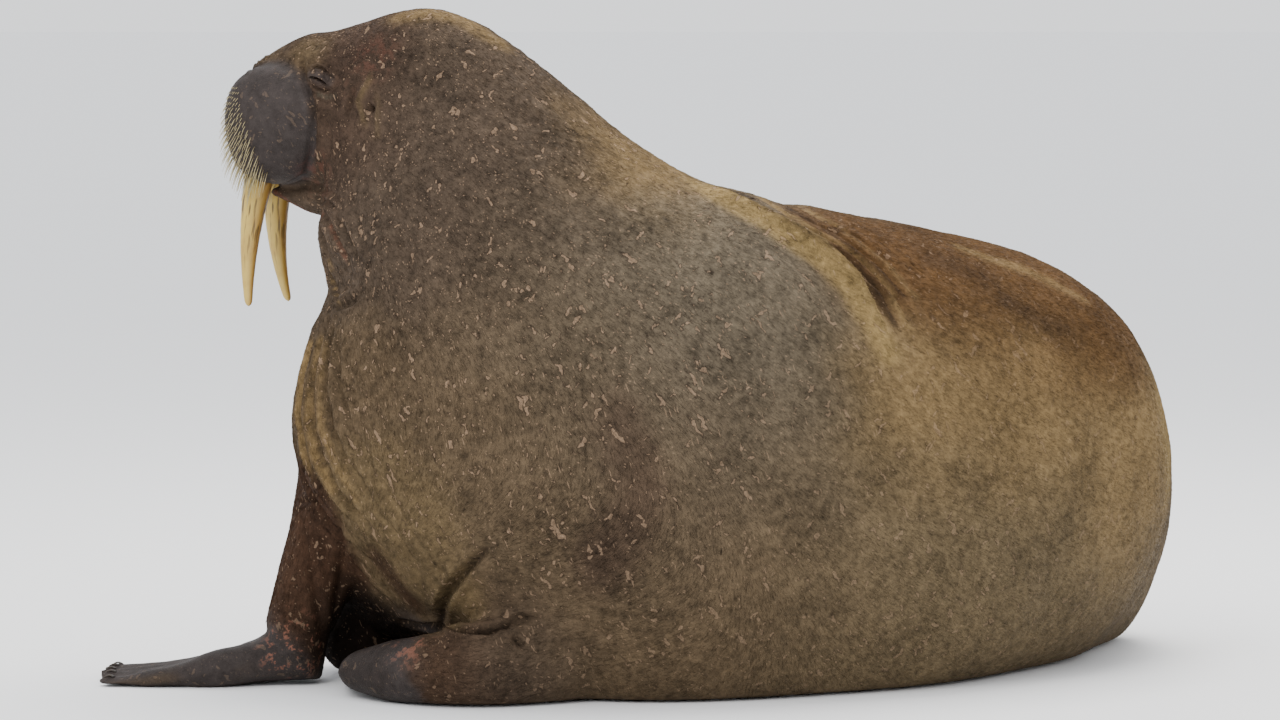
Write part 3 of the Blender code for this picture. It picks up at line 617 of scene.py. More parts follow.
class Probe:
    """Finds places on a mesh along lines."""

    def __init__(self, thing: bpy.types.Object) -> None:
        """Keeps the mesh as it is now."""
        self.tree = BVHTree.FromPolygons(read_points(thing).tolist(), read_triangles(thing).tolist())

    def pixel(self, pixel: Pixel, far: bool = False) -> Vector | None:
        """Where the line of a pixel first meets the skin, or last leaves it."""
        start, ahead = PHOTO.ray(pixel)
        if far:
            start, ahead = start + ahead * 25.0, -ahead
        return self.tree.ray_cast(start, ahead)[0]

    def line(self, start: Vector, ahead: Vector) -> tuple[Vector | None, Vector | None]:
        """Where a line first meets the skin, and the skin's facing there."""
        place, facing, _, _ = self.tree.ray_cast(start, ahead.normalized())
        return place, facing

    def mirrored(self, route: np.ndarray) -> np.ndarray:
        """Lays a route of one side of the head on the other side."""
        places = []
        for row in route:
            place = Vector(row)
            place -= HEAD_LEFT * (2.0 * (place - EAR_MIDDLE).dot(HEAD_LEFT))
            places.append(tuple(self.tree.find_nearest(place)[0]))
        return np.array(places).reshape(-1, 3)

    def route(self, pixels: tuple[Pixel, ...], far: bool = False, step: float = 6.0) -> np.ndarray:
        """Lays a line of pixels on the skin.

        Args:
            pixels: the corners of the line.
            far: whether it lies on the side away from the camera.
            step: the most pixels between two places of the route.

        Returns:
            The places, one row each.
        """
        places = []
        for (x, y), (u, v) in zip(pixels[:-1], pixels[1:]):
            count = max(1, math.ceil(math.hypot(u - x, v - y) / step))
            for k in range(count + 1):
                share = k / count
                place = self.pixel((x + (u - x) * share, y + (v - y) * share), far)
                if place is not None:
                    places.append(place)
        return np.array(places)


# The skin


@dataclass(frozen=True)
class Fold:
    """A groove in the skin with a soft lip on each side, or a ridge where depth is negative."""

    route: tuple[Pixel, ...]
    width: float
    depth: float
    lip: float = 0.35
    both: bool = False


class Clay:
    """A mesh's points while they are shaped."""

    def __init__(self, thing: bpy.types.Object) -> None:
        """Reads the mesh."""
        self.thing = thing
        self.points = read_points(thing)
        self.normals = read_normals(thing)

    def settle(self) -> None:
        """Writes the points back and reads the new normals."""
        write_points(self.thing, self.points)
        self.normals = read_normals(self.thing)

    def swell(self, middle: Vector, reach: float, push: Vector) -> None:
        """Moves what lies near middle by push, fading to nothing at reach."""
        away = np.linalg.norm(self.points - np.array(middle), axis=1) / reach
        self.points += (np.clip(1.0 - away**2, 0.0, 1.0) ** 2)[:, None] * np.array(push)

    def puff(self, middle: Vector, reach: float, height: float) -> None:
        """Raises what lies near middle along its own normals."""
        away = np.linalg.norm(self.points - np.array(middle), axis=1) / reach
        self.points += self.normals * (height * np.clip(1.0 - away**2, 0.0, 1.0) ** 2)[:, None]

    def press(self, route: np.ndarray, width: float, depth: float, lip: float = 0.35) -> None:
        """Presses a crease along a route, or raises a ridge where depth is negative.

        Args:
            route: the places it runs through, one row each.
            width: half its width, in metres.
            depth: how deep it is in the middle of its length.
            lip: the height of the skin beside it, as a share of its depth.
        """
        if len(route) < 2:
            return
        reach = width * 5.0
        above = self.points > route.min(0) - reach
        below = self.points < route.max(0) + reach
        index = np.where(np.all(above & below, axis=1))[0]
        if not len(index):
            return
        places = self.points[index]
        best = np.full(len(index), 1e9)
        along = np.zeros(len(index))
        for k in range(len(route) - 1):
            leg = route[k + 1] - route[k]
            size = leg @ leg
            if size < 1e-12 or size > 0.01:
                continue
            share = np.clip((places - route[k]) @ leg / size, 0.0, 1.0)
            away = np.linalg.norm(places - route[k] - share[:, None] * leg, axis=1)
            closer = away < best
            best[closer] = away[closer]
            along[closer] = (k + share[closer]) / (len(route) - 1)
        taper = np.clip(np.sin(np.pi * np.clip(along, 0.0, 1.0)), 0.0, 1.0) ** 0.6
        sharp = 1.25 if depth > 0 else 2.0
        groove = np.exp(-((best / width) ** sharp))
        ridge = np.exp(-(((best - 2.4 * width) / (1.2 * width)) ** 2))
        move = depth * taper * (lip * ridge - groove)
        self.points[index] += self.normals[index] * move[:, None]


NECK_FOLDS = (
    Fold(((314, 216), (320, 229), (327, 243), (330, 258)), 0.0070, 0.018),
    Fold(((322, 211), (333, 227), (341, 243), (347, 258)), 0.0065, 0.018),
    Fold(((313, 224), (317, 240), (324, 254), (329, 272), (338, 298)), 0.0075, 0.020),
    Fold(((332, 212), (344, 228), (354, 248), (360, 268)), 0.0070, 0.010),
    Fold(((316, 306), (333, 306), (351, 299), (362, 290)), 0.0080, 0.015),
    Fold(((328, 270), (334, 288), (339, 302)), 0.0050, 0.006),
    Fold(((356, 150), (352, 200), (366, 250), (380, 310)), 0.014, 0.005),
    Fold(((392, 130), (392, 190), (404, 250), (420, 320)), 0.016, 0.005),
    Fold(((440, 70), (452, 150), (478, 230), (508, 300)), 0.018, 0.005),
    Fold(((520, 110), (560, 180), (600, 250), (640, 310)), 0.022, 0.005),
    Fold(((470, 30), (505, 60), (545, 100), (590, 140)), 0.016, 0.004),
)
CHEST_FOLDS = (
    Fold(
        ((325, 296), (314, 330), (305, 368), (301, 410), (305, 446), (318, 482), (348, 520)),
        0.0120, 0.030,
    ),
    Fold(
        ((329, 300), (321, 340), (314, 380), (313, 420), (321, 458), (343, 498), (376, 534)),
        0.0110, 0.030,
    ),
    Fold(((332, 304), (328, 345), (325, 388), (330, 428), (346, 466), (372, 502)), 0.0105, 0.024),
    Fold(((335, 308), (336, 350), (340, 392), (352, 430), (372, 462)), 0.0080, 0.011),
    Fold(((331, 377), (344, 386), (359, 396)), 0.0055, 0.009),
    Fold(((298, 440), (303, 474), (320, 508), (348, 542), (378, 568)), 0.0090, 0.018),
    Fold(((372, 505), (396, 535), (417, 570), (432, 602)), 0.0110, 0.006),
    Fold(((352, 440), (378, 480), (404, 520), (424, 556)), 0.0100, 0.005),
)
FLANK_FOLDS = (
    Fold(
        ((490, 545), (478, 560), (462, 576), (449, 592), (442, 608), (442, 624)),
        0.0085, 0.022, 0.45,
    ),
    Fold(((474, 556), (466, 566), (458, 574)), 0.0050, 0.005),
    Fold(((300, 512), (310, 560), (320, 610), (326, 650)), 0.0090, 0.007),
    Fold(((338, 500), (343, 540), (342, 580), (336, 620)), 0.0090, 0.010),
    Fold(((262, 632), (272, 640), (280, 652)), 0.0060, 0.005),
    Fold(((350, 560), (372, 590), (400, 612)), 0.0080, 0.008),
    Fold(
        ((398, 622), (424, 626), (444, 627), (466, 632),
         (489, 632), (506, 626), (520, 620), (545, 616)),
        0.0075, 0.034, 0.30,
    ),
    Fold(((505, 626), (515, 640), (528, 652)), 0.0055, 0.014),
    Fold(((291, 504), (306, 501), (324, 505)), 0.0055, 0.008),
    Fold(((430, 566), (452, 578), (466, 582)), 0.0080, 0.005),
    Fold(((545, 616), (580, 622), (612, 640)), 0.0110, 0.007),
    Fold(((560, 400), (600, 410), (640, 400)), 0.014, 0.004),
    Fold(((610, 560), (650, 580), (680, 610)), 0.016, 0.004),
)
SADDLE_FOLDS = (
    Fold(
        ((700, 184), (760, 214), (818, 248), (854, 281), (877, 322), (888, 356)),
        0.021, -0.024, 0.2,
    ),
    Fold(((716, 187), (774, 218), (832, 254), (868, 288), (889, 322)), 0.0095, 0.018),
    Fold(((734, 190), (790, 222), (846, 257), (884, 291), (905, 332)), 0.0065, 0.012),
    Fold(((752, 193), (811, 227), (866, 263), (899, 298), (915, 328)), 0.0060, 0.010),
    Fold(((772, 197), (836, 232), (884, 268), (912, 301)), 0.0060, 0.009),
    Fold(((796, 203), (860, 238), (902, 272)), 0.0060, 0.007),
    Fold(((822, 208), (880, 240), (920, 274)), 0.0070, 0.005),
    Fold(((760, 240), (800, 264), (834, 298), (856, 336)), 0.012, 0.005),
    Fold(((900, 330), (925, 352), (940, 380)), 0.010, 0.006),
)
HEAD_FOLDS = (
    Fold(
        ((298, 50), (302, 62), (304, 78), (309, 94),
         (313, 108), (313, 130), (312, 152), (306, 174)),
        0.0060, 0.012, 0.25, True,
    ),
    Fold(((318, 112), (326, 124), (330, 138), (327, 162)), 0.0060, 0.005, 0.35, True),
    Fold(((334, 100), (338, 124), (337, 148), (330, 170)), 0.0080, 0.004, 0.35, True),
    Fold(((303, 182), (315, 186), (330, 192), (345, 204)), 0.0050, 0.007, 0.4, True),
    Fold(((310, 195), (322, 200), (335, 207), (346, 218)), 0.0045, 0.007, 0.4, True),
    Fold(((306, 188), (322, 193), (336, 200)), 0.0035, 0.005, 0.4, True),
    Fold(((368, 78), (361, 92), (357, 102), (360, 111), (363, 121)), 0.0065, -0.0100, 0.1, True),
    Fold(((355, 86), (350, 102), (347, 116)), 0.0055, 0.0090, 0.3, True),
    Fold(((379, 101), (376, 118), (377, 134)), 0.0060, -0.0070, 0.1, True),
    Fold(((366, 99), (369, 107), (368, 118)), 0.0045, 0.0060, 0.2, True),
)
LID_FOLDS = (
    Fold(
        ((309, 75), (311, 70), (316, 67), (322, 68), (329, 73), (335, 80), (337, 85)),
        0.0026, 0.0060, 0.4,
    ),
    Fold(((308, 80), (312, 85), (318, 89), (324, 91), (332, 89), (337, 85)), 0.0026, 0.0060, 0.4),
    Fold(((309, 64), (318, 61), (328, 65), (337, 74), (341, 82)), 0.0034, 0.0030, 0.4),
    Fold(((309, 86), (313, 93), (320, 98), (329, 98), (338, 92)), 0.0034, 0.0030, 0.4),
    Fold(((317, 90), (317, 95), (318, 99)), 0.0013, 0.0030, 0.4),
    Fold(((321, 91), (322, 96), (323, 100)), 0.0013, 0.0030, 0.4),
    Fold(((325, 92), (326, 97), (328, 101)), 0.0013, 0.0030, 0.4),
    Fold(((329, 91), (331, 96), (333, 100)), 0.0013, 0.0030, 0.4),
    Fold(((333, 90), (335, 94), (337, 98)), 0.0013, 0.0030, 0.4),
    Fold(((246, 77), (251, 71), (257, 65), (263, 61), (270, 57)), 0.0036, 0.0080, 0.4),
)


@dataclass(frozen=True)
class FoldRow:
    """Folds side by side, found on the skin by looking at it along one direction."""

    look: Place
    start: Place
    ahead: Place
    turn: Place
    count: int
    width: float
    depth: float
    length: float = 0.34


FROM_RIGHT, FROM_FRONT = (0.0, -1.0, 0.0), (1.0, 0.0, 0.0)
HIDDEN_FOLDS = (
    FoldRow(FROM_RIGHT, (-0.62, 0.62, 0.95), (0.35, 0.0, -1.0), (0.055, -0.010, 0.0), 3, 0.015, 0.010),
    FoldRow(FROM_RIGHT, (-0.30, 0.80, 0.35), (0.75, 0.0, -0.30), (0.02, 0.0, -0.060), 2, 0.016, 0.012),
    FoldRow(FROM_RIGHT, (0.10, 0.90, 0.85), (0.22, 0.0, -1.0), (0.060, 0.0, 0.0), 3, 0.016, 0.009),
    FoldRow(FROM_RIGHT, (0.75, 1.35, 0.45), (0.20, 0.0, -1.0), (0.060, 0.0, 0.0), 2, 0.016, 0.009),
    FoldRow(FROM_FRONT, (-0.90, 0.13, 0.98), (0.0, 0.05, -1.15), (0.0, 0.062, -0.010), 4, 0.013, 0.012),
)


@dataclass(frozen=True)
class Bulge:
    """A soft swelling of the flesh round a pixel of the near flank."""

    pixel: Pixel
    reach: float
    height: float


BULGES = (
    Bulge((540, 580), 0.16, 0.014),
    Bulge((465, 605), 0.055, 0.010),
    Bulge((420, 590), 0.080, 0.008),
    Bulge((590, 330), 0.30, 0.012),
    Bulge((342, 128), 0.045, 0.004),
    Bulge((345, 480), 0.060, 0.008),
    Bulge((1060, 470), 0.20, 0.008),
    Bulge((452, 26), 0.22, 0.019),
    Bulge((215, 668), 0.13, 0.019),
    Bulge((155, 675), 0.09, 0.008),
    Bulge((520, 66), 0.20, 0.008),
    Bulge((1120, 350), 0.26, 0.024),
    Bulge((1158, 440), 0.24, 0.012),
)


@dataclass
class Skin:
    """One seamless skin that stands for every node of flesh."""

    voxel: float = 0.0046
    triangles: int = 140000
    coat_depth: float = 0.0025
    pad_middle: Place = (0.266, 0.069, -0.038)
    pad_reach: Place = (0.124, 0.098, 0.136)
    pad_power: float = 2.45
    pad_tilt: float = math.radians(-6.0)
    eye_place: Place = (0.146, 0.114, 0.057)
    eye_ball: float = 0.0215
    lid_reach: tuple[float, float] = (0.034, 0.027)
    lid_height: float = 0.0075
    slit_back: float = 0.005
    slit_above: float = 0.0070
    slit_half_length: float = 0.0235
    slit_half_width: float = 0.0022
    slit_depth: float = 0.0150
    slit_rim: float = 0.0020
    flesh: tuple[str, ...] = (
        "head", "lower_jaw", "whisker_pad_left", "whisker_pad_right",
        "neck", "chest", "belly", "hips", "tail",
        "forearm_left", "forearm_right", "hand_left", "hand_right",
        "hindflipper_left", "hindflipper_right",
    )

    def pad_axes(self) -> tuple[Vector, Vector, Vector]:
        """Forward, left and upper directions of a whisker pad."""
        ahead = HEAD_FORWARD * math.cos(self.pad_tilt) + UP * math.sin(self.pad_tilt)
        return ahead, HEAD_LEFT, ahead.cross(HEAD_LEFT)

    def pad_spot(self, side: Side) -> Vector:
        """The middle of a whisker pad."""
        return head_point(self.pad_middle[0], self.pad_middle[1] * side.value, self.pad_middle[2])

    def eye_spot(self, side: Side) -> Vector:
        """The middle of an eyeball."""
        return head_point(self.eye_place[0], self.eye_place[1] * side.value, self.eye_place[2])

    def add_pad(self, side: Side) -> bpy.types.Object:
        """Shapes a ball into one smooth whisker pad."""
        bpy.ops.mesh.primitive_uv_sphere_add(segments=64, ring_count=32, radius=1.0)
        pad = bpy.context.object
        unit = read_points(pad)
        size = (np.abs(unit) ** self.pad_power).sum(axis=1) ** (1.0 / self.pad_power)
        local = unit / size[:, None] * np.array(self.pad_reach)
        turned = local @ np.array([tuple(axis) for axis in self.pad_axes()])
        write_points(pad, np.array(self.pad_spot(side)) + turned)
        return pad

    def add_ball(
        self, middle: Vector, radius: float, stretch: Place = (1.0, 1.0, 1.0)
    ) -> bpy.types.Object:
        """Adds a ball that fills a hollow under the skin, stretched ahead, sideways and up."""
        bpy.ops.mesh.primitive_uv_sphere_add(segments=32, ring_count=16, radius=radius)
        ball = bpy.context.object
        local = read_points(ball) * np.array(stretch)
        axes = np.array([tuple(HEAD_FORWARD), tuple(HEAD_LEFT), tuple(UP)])
        write_points(ball, local @ axes + np.array(middle))
        return ball

    def gather(self) -> bpy.types.Object:
        """Joins copies of the flesh nodes, smooth whisker pads and fillers into one loose mesh."""
        parts = []
        for name in self.flesh:
            if name.startswith("whisker_pad"):
                continue
            copy = bpy.data.objects.new(name + "_copy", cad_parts[name].data.copy())
            bpy.context.scene.collection.objects.link(copy)
            parts.append(copy)
        lip, breast = head_point(0.235, 0.0, -0.150), body_place(-0.640, 0.14, 0.090)
        parts.append(self.add_ball(lip, 0.060, (1.3, 1.25, 0.6)))
        parts.append(self.add_ball(breast, 0.100))
        for side in Side:
            parts.append(self.add_pad(side))
            parts.append(self.add_ball(self.eye_spot(side), self.eye_ball))
            gum = head_point(0.300, 0.050 * side.value, -0.105)
            parts.append(self.add_ball(gum, 0.046, (1.0, 1.0, 1.2)))
        bpy.ops.object.select_all(action="DESELECT")
        for part in parts:
            part.select_set(True)
        bpy.context.view_layer.objects.active = parts[0]
        bpy.ops.object.join()
        skin = bpy.context.object
        skin.name = "skin"
        skin.data.name = "skin"
        skin.data.materials.clear()
        bpy.ops.object.mode_set(mode="EDIT")
        bpy.ops.mesh.select_all(action="SELECT")
        bpy.ops.mesh.remove_doubles(threshold=0.00001)
        bpy.ops.object.mode_set(mode="OBJECT")
        return skin

    @staticmethod
    def weigh(skin: bpy.types.Object, name: str, weight: np.ndarray) -> None:
        """Keeps a weight for each point in ten steps, for a modifier to follow."""
        group = skin.vertex_groups.new(name=name)
        step = np.round(weight * 10).astype(int)
        for level in range(1, 11):
            group.add(np.where(step == level)[0].tolist(), level / 10.0, "REPLACE")

    def soften(self, skin: bpy.types.Object) -> None:
        """Smooths the flat facets away, most on the trunk and least on the face and flippers."""
        points = read_points(skin)
        face = near_place(points, head_point(0.16, 0.0, -0.02), 0.24, 0.12)
        paws = np.zeros(len(points))
        for middle, reach in FLIPPER_ZONES:
            paws = np.maximum(paws, near_place(points, middle, reach, 0.10))
        trunk = np.clip(1.0 - np.maximum(face, paws), 0.0, 1.0)
        self.weigh(skin, "trunk", trunk)
        apply(skin, "SMOOTH", factor=0.7, iterations=170, vertex_group="trunk")
        self.weigh(skin, "detail", 1.0 - trunk)
        apply(skin, "SMOOTH", factor=0.7, iterations=16, vertex_group="detail")
        skin.vertex_groups.clear()

    def shape(self, skin: bpy.types.Object) -> None:
        """Presses the folds and raises the lumps of the hide."""
        clay = Clay(skin)
        probe = Probe(skin)
        for bulge in BULGES:
            clay.puff(probe.pixel(bulge.pixel), bulge.reach, bulge.height)
        clay.settle()
        for fold in NECK_FOLDS + CHEST_FOLDS + FLANK_FOLDS + SADDLE_FOLDS + HEAD_FOLDS:
            route = probe.route(fold.route)
            clay.press(route, fold.width, fold.depth, fold.lip)
            if fold.both:
                clay.press(probe.mirrored(route), fold.width, fold.depth, fold.lip)
        clay.settle()
        self.far_folds(clay)
        self.roughen(clay)
        clay.points -= clay.normals * self.coat_depth
        clay.settle()

    def far_folds(self, clay: Clay) -> None:
        """Presses folds on the sides that the photograph doesn't show, of the same kind."""
        probe = Probe(clay.thing)
        for row in HIDDEN_FOLDS:
            look = Vector(row.look)
            for k in range(row.count):
                route = []
                for j in range(14):
                    share = j / 13
                    run = Vector(row.ahead) * (row.length * share)
                    place = body_place(*row.start) + Vector(row.turn) * k + run
                    found, _ = probe.line(place - look * 0.6, look)
                    if found is not None:
                        route.append(tuple(found))
                clay.press(np.array(route).reshape(-1, 3), row.width, row.depth * (1.0 - 0.15 * k))
        clay.settle()

    def roughen(self, clay: Clay) -> None:
        """Adds soft lumps all over, finer wrinkles on the neck and knots on a bull's shoulders."""
        points = clay.points
        face = near_place(points, head_point(0.16, 0.0, -0.02), 0.20, 0.15)
        low = 1.0 - ease(points[:, 2] / 0.12)
        soft = Lumps(3).at(points, 0.17) * 0.0050 + Lumps(5).at(points, 0.07) * 0.0022
        soft += Lumps(6).at(points, 0.032) * 0.0008
        knots = np.clip(Lumps(8).at(points, 0.026) - 0.30, 0.0, 1.0) * 0.0055
        shoulder = np.array((-0.42, -0.45, 1.0))
        bull = np.exp(-((np.linalg.norm(points - shoulder, axis=1) / 0.60) ** 2))
        wrinkle = Lumps(12).at(points, (0.018, 0.08, 0.08)) * 0.0018
        move = (soft + knots * bull + wrinkle * (0.25 + 0.75 * bull)) * (1.0 - face) * (1.0 - low)
        clay.points += clay.normals * move[:, None]
        clay.settle()

    def refine(self, skin: bpy.types.Object, middle: Vector, reach: float, cuts: int) -> None:
        """Splits the faces round a place into smaller ones."""
        only(skin)
        points = read_points(skin)
        near = np.linalg.norm(points - np.array(middle), axis=1) < reach
        corners = read_triangles(skin)
        bpy.ops.object.mode_set(mode="EDIT")
        bpy.ops.mesh.select_mode(type="FACE")
        bpy.ops.mesh.select_all(action="DESELECT")
        bpy.ops.object.mode_set(mode="OBJECT")
        skin.data.polygons.foreach_set("select", near[corners].all(axis=1))
        bpy.ops.object.mode_set(mode="EDIT")
        bpy.ops.mesh.subdivide(number_cuts=cuts, smoothness=0.0)
        bpy.ops.mesh.select_all(action="SELECT")
        bpy.ops.mesh.quads_convert_to_tris()
        bpy.ops.object.mode_set(mode="OBJECT")

    def raise_lids(self, clay: Clay, side: Side) -> None:
        """Domes the flesh over the eyeball."""
        along, out, across = eye_axes(side)
        offset = clay.points - np.array(self.eye_spot(side))
        run = offset @ np.array(along)
        rise = offset @ np.array(across) - 0.004
        length, breadth = self.lid_reach
        dome = np.clip(1.0 - (run / length) ** 2 - (rise / breadth) ** 2, 0.0, 1.0) ** 0.75
        outer = offset @ np.array(out) > 0.0
        clay.points += np.array(out) * (self.lid_height * dome * outer)[:, None]

    def open_eye(self, clay: Clay, side: Side) -> None:
        """Cuts the slit of a nearly closed eye, with swollen rims."""
        along, out, across = eye_axes(side)
        offset = clay.points - np.array(self.eye_spot(side))
        run = offset @ np.array(along) + self.slit_back
        rise = offset @ np.array(across) - self.slit_above
        near = (np.abs(run) < 0.06) & (np.abs(rise) < 0.06) & (offset @ np.array(out) > 0.0)
        middle = rise + 7.0 * run**2 - 0.0015
        share = np.clip(1.0 - (run / self.slit_half_length) ** 2, 0.0, 1.0) ** 0.5
        slit = np.exp(-((middle / self.slit_half_width) ** 2)) * share
        rims = np.exp(-(((np.abs(middle) - 0.0052) / 0.0026) ** 2)) * share
        move = (self.slit_rim * rims - self.slit_depth * slit) * near
        clay.points += np.array(out) * move[:, None]

    def add_nostril(self, clay: Clay, probe: Probe, side: Side) -> None:
        """Presses a crescent nostril high on the muzzle, with a swollen rim."""
        start = head_point(0.60, 0.034 * side.value, 0.190)
        middle, out = probe.line(start, -HEAD_FORWARD * 0.94 - UP * 0.34)
        across = HEAD_LEFT * side.value
        across = (across - out * across.dot(out)).normalized()
        rise = out.cross(across).normalized()
        if rise.z < 0:
            rise = -rise
        arc = []
        for k in range(9):
            turn = math.radians(-85 + 170 * k / 8)
            aside = across * (0.015 * math.cos(turn) - 0.008)
            arc.append(middle + aside + rise * (0.020 * math.sin(turn)))
        clay.puff(middle, 0.030, 0.004)
        clay.press(np.array([tuple(p) for p in arc]), 0.0042, 0.020, 0.30)

    def face(self, skin: bpy.types.Object) -> None:
        """Refines and cuts the small forms of the head: lids, nostrils, ear openings and mouth."""
        for side in Side:
            eye = self.eye_spot(side) + HEAD_LEFT * (0.022 * side.value)
            self.refine(skin, eye, 0.046, 1)
            self.refine(skin, eye, 0.036, 1)
            self.refine(skin, head_point(0.335, 0.03 * side.value, 0.085), 0.040, 1)
            self.refine(skin, head_point(-0.012, 0.145 * side.value, 0.0), 0.035, 1)
        self.refine(skin, head_point(0.270, 0.03, -0.175), 0.075, 1)
        clay = Clay(skin)
        for side in Side:
            self.raise_lids(clay, side)
        clay.settle()
        probe = Probe(skin)
        for fold in LID_FOLDS:
            route = probe.route(fold.route, step=2.0)
            clay.press(route, fold.width, fold.depth, fold.lip)
            clay.press(probe.mirrored(route), fold.width, fold.depth, fold.lip)
        self.mouth(clay)
        for side in Side:
            self.add_nostril(clay, probe, side)
            self.open_eye(clay, side)
            beside = head_point(-0.012, 0.40 * side.value, 0.0)
            ear, facing = probe.line(beside, -HEAD_LEFT * side.value)
            clay.swell(ear, 0.0095, facing * -0.026)
        clay.points[:, 2] = np.maximum(clay.points[:, 2], FLOOR_CLEARANCE)
        clay.settle()

    def mouth(self, clay: Clay) -> None:
        """Presses the line between the pads and the lower lip, and back to the mouth's corners."""
        for side in Side:
            line = [
                head_point(0.338, 0.006 * side.value, -0.166),
                head_point(0.300, 0.036 * side.value, -0.176),
                head_point(0.250, 0.072 * side.value, -0.172),
                head_point(0.200, 0.098 * side.value, -0.160),
                head_point(0.160, 0.112 * side.value, -0.150),
            ]
            clay.press(np.array([tuple(p) for p in line]), 0.0055, 0.014, 0.25)

    def build(self) -> bpy.types.Object:
        """Makes the skin.

        Returns:
            The finished skin, undressed.
        """
        skin = self.gather()
        apply(skin, "REMESH", mode="VOXEL", voxel_size=self.voxel, use_smooth_shade=True)
        LOG.info("skin remeshed: %d points", len(skin.data.vertices))
        self.soften(skin)
        LOG.info("skin softened")
        self.shape(skin)
        LOG.info("skin shaped")
        points = read_points(skin)
        self.weigh(skin, "loose", 1.0 - near_place(points, head_point(0.21, 0.0, -0.02), 0.19, 0.03))
        settings = {"ratio": self.triangles / len(read_triangles(skin)), "vertex_group": "loose"}
        apply(skin, "DECIMATE", use_collapse_triangulate=True, **settings)
        skin.vertex_groups.clear()
        LOG.info("skin thinned: %d triangles", len(skin.data.polygons))
        self.face(skin)
        skin.data.polygons.foreach_set("use_smooth", np.full(len(skin.data.polygons), True))
        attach(skin, BODY)
        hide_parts(*self.flesh)
        return skin


def near_place(points: np.ndarray, middle: Vector, reach: float, soft: float) -> np.ndarray:
    """1 within reach of middle, falling to 0 over soft metres."""
    away = np.linalg.norm(points - np.array(middle), axis=1)
    return 1.0 - ease((away - reach) / soft)


def body_place(x: float, y: float, z: float) -> Vector:
    """A place by the part's own drawing, moved to the middle of the footprint."""
    return Vector((x, y, z)) - SHIFT


# Where the hands and feet lie, which keep their fine forms when the skin is softened
FLIPPER_ZONES = (
    (body_place(-0.80, -0.03, 0.06), 0.16),
    (body_place(-0.96, -0.01, 0.04), 0.18),
    (body_place(-1.14, 0.02, 0.02), 0.20),
    (body_place(-0.57, -0.10, 0.04), 0.16),
    (body_place(-0.56, -0.26, 0.05), 0.12),
    (body_place(1.04, 1.00, 0.05), 0.16),
    (body_place(1.05, 1.20, 0.02), 0.20),
    (body_place(0.76, 1.00, 0.05), 0.16),
    (body_place(0.69, 1.20, 0.02), 0.20),
)


def eye_axes(side: Side) -> tuple[Vector, Vector, Vector]:
    """Directions of an eye: along its slit towards the nose, outward, and across the slit."""
    along = (HEAD_FORWARD * 0.93 + UP * 0.36).normalized()
    out = HEAD_LEFT * side.value
    out = (out - along * out.dot(along)).normalized()
    return along, out, along.cross(out)


# Markings


class Pigment(Enum):
    """The few colours that the hide is made of; the darkest is only painted shade, the sooty brown is
    also painted shade in grooves, and gold, tan and straw are also painted highlight on ridges and
    folds.
    """

    OLIVE = paint(81, 67, 50)
    ASH = paint(92, 84, 71)
    UMBER = paint(68, 57, 47)
    BISTRE = paint(62, 48, 39)
    GOLD = paint(136, 114, 74)
    TAN = paint(117, 96, 64)
    DRAB = paint(92, 79, 58)
    CHOCOLATE = paint(78, 55, 31)
    # a sooty brown of the saddle, also used as painted shade in grooves and valleys
    SOOT = paint(44, 32, 22)
    RUST = paint(57, 40, 29)
    SLATE = paint(54, 48, 46)
    STRAW = paint(92, 77, 54)
    ROSE = paint(104, 66, 52)
    # used only as painted shade: near-black in creases, under the breast and low on the near hand
    DUSK = paint(26, 18, 13)


@dataclass(frozen=True)
class Patch:
    """A soft patch of pigment, round a pixel of the near flank and the same place behind; some lay
    painted highlight and painted shade along folds.
    """

    name: str
    pigment: Pigment
    route: tuple[Pixel, ...]
    reach: float
    strength: float = 1.0
    mirror: bool = False


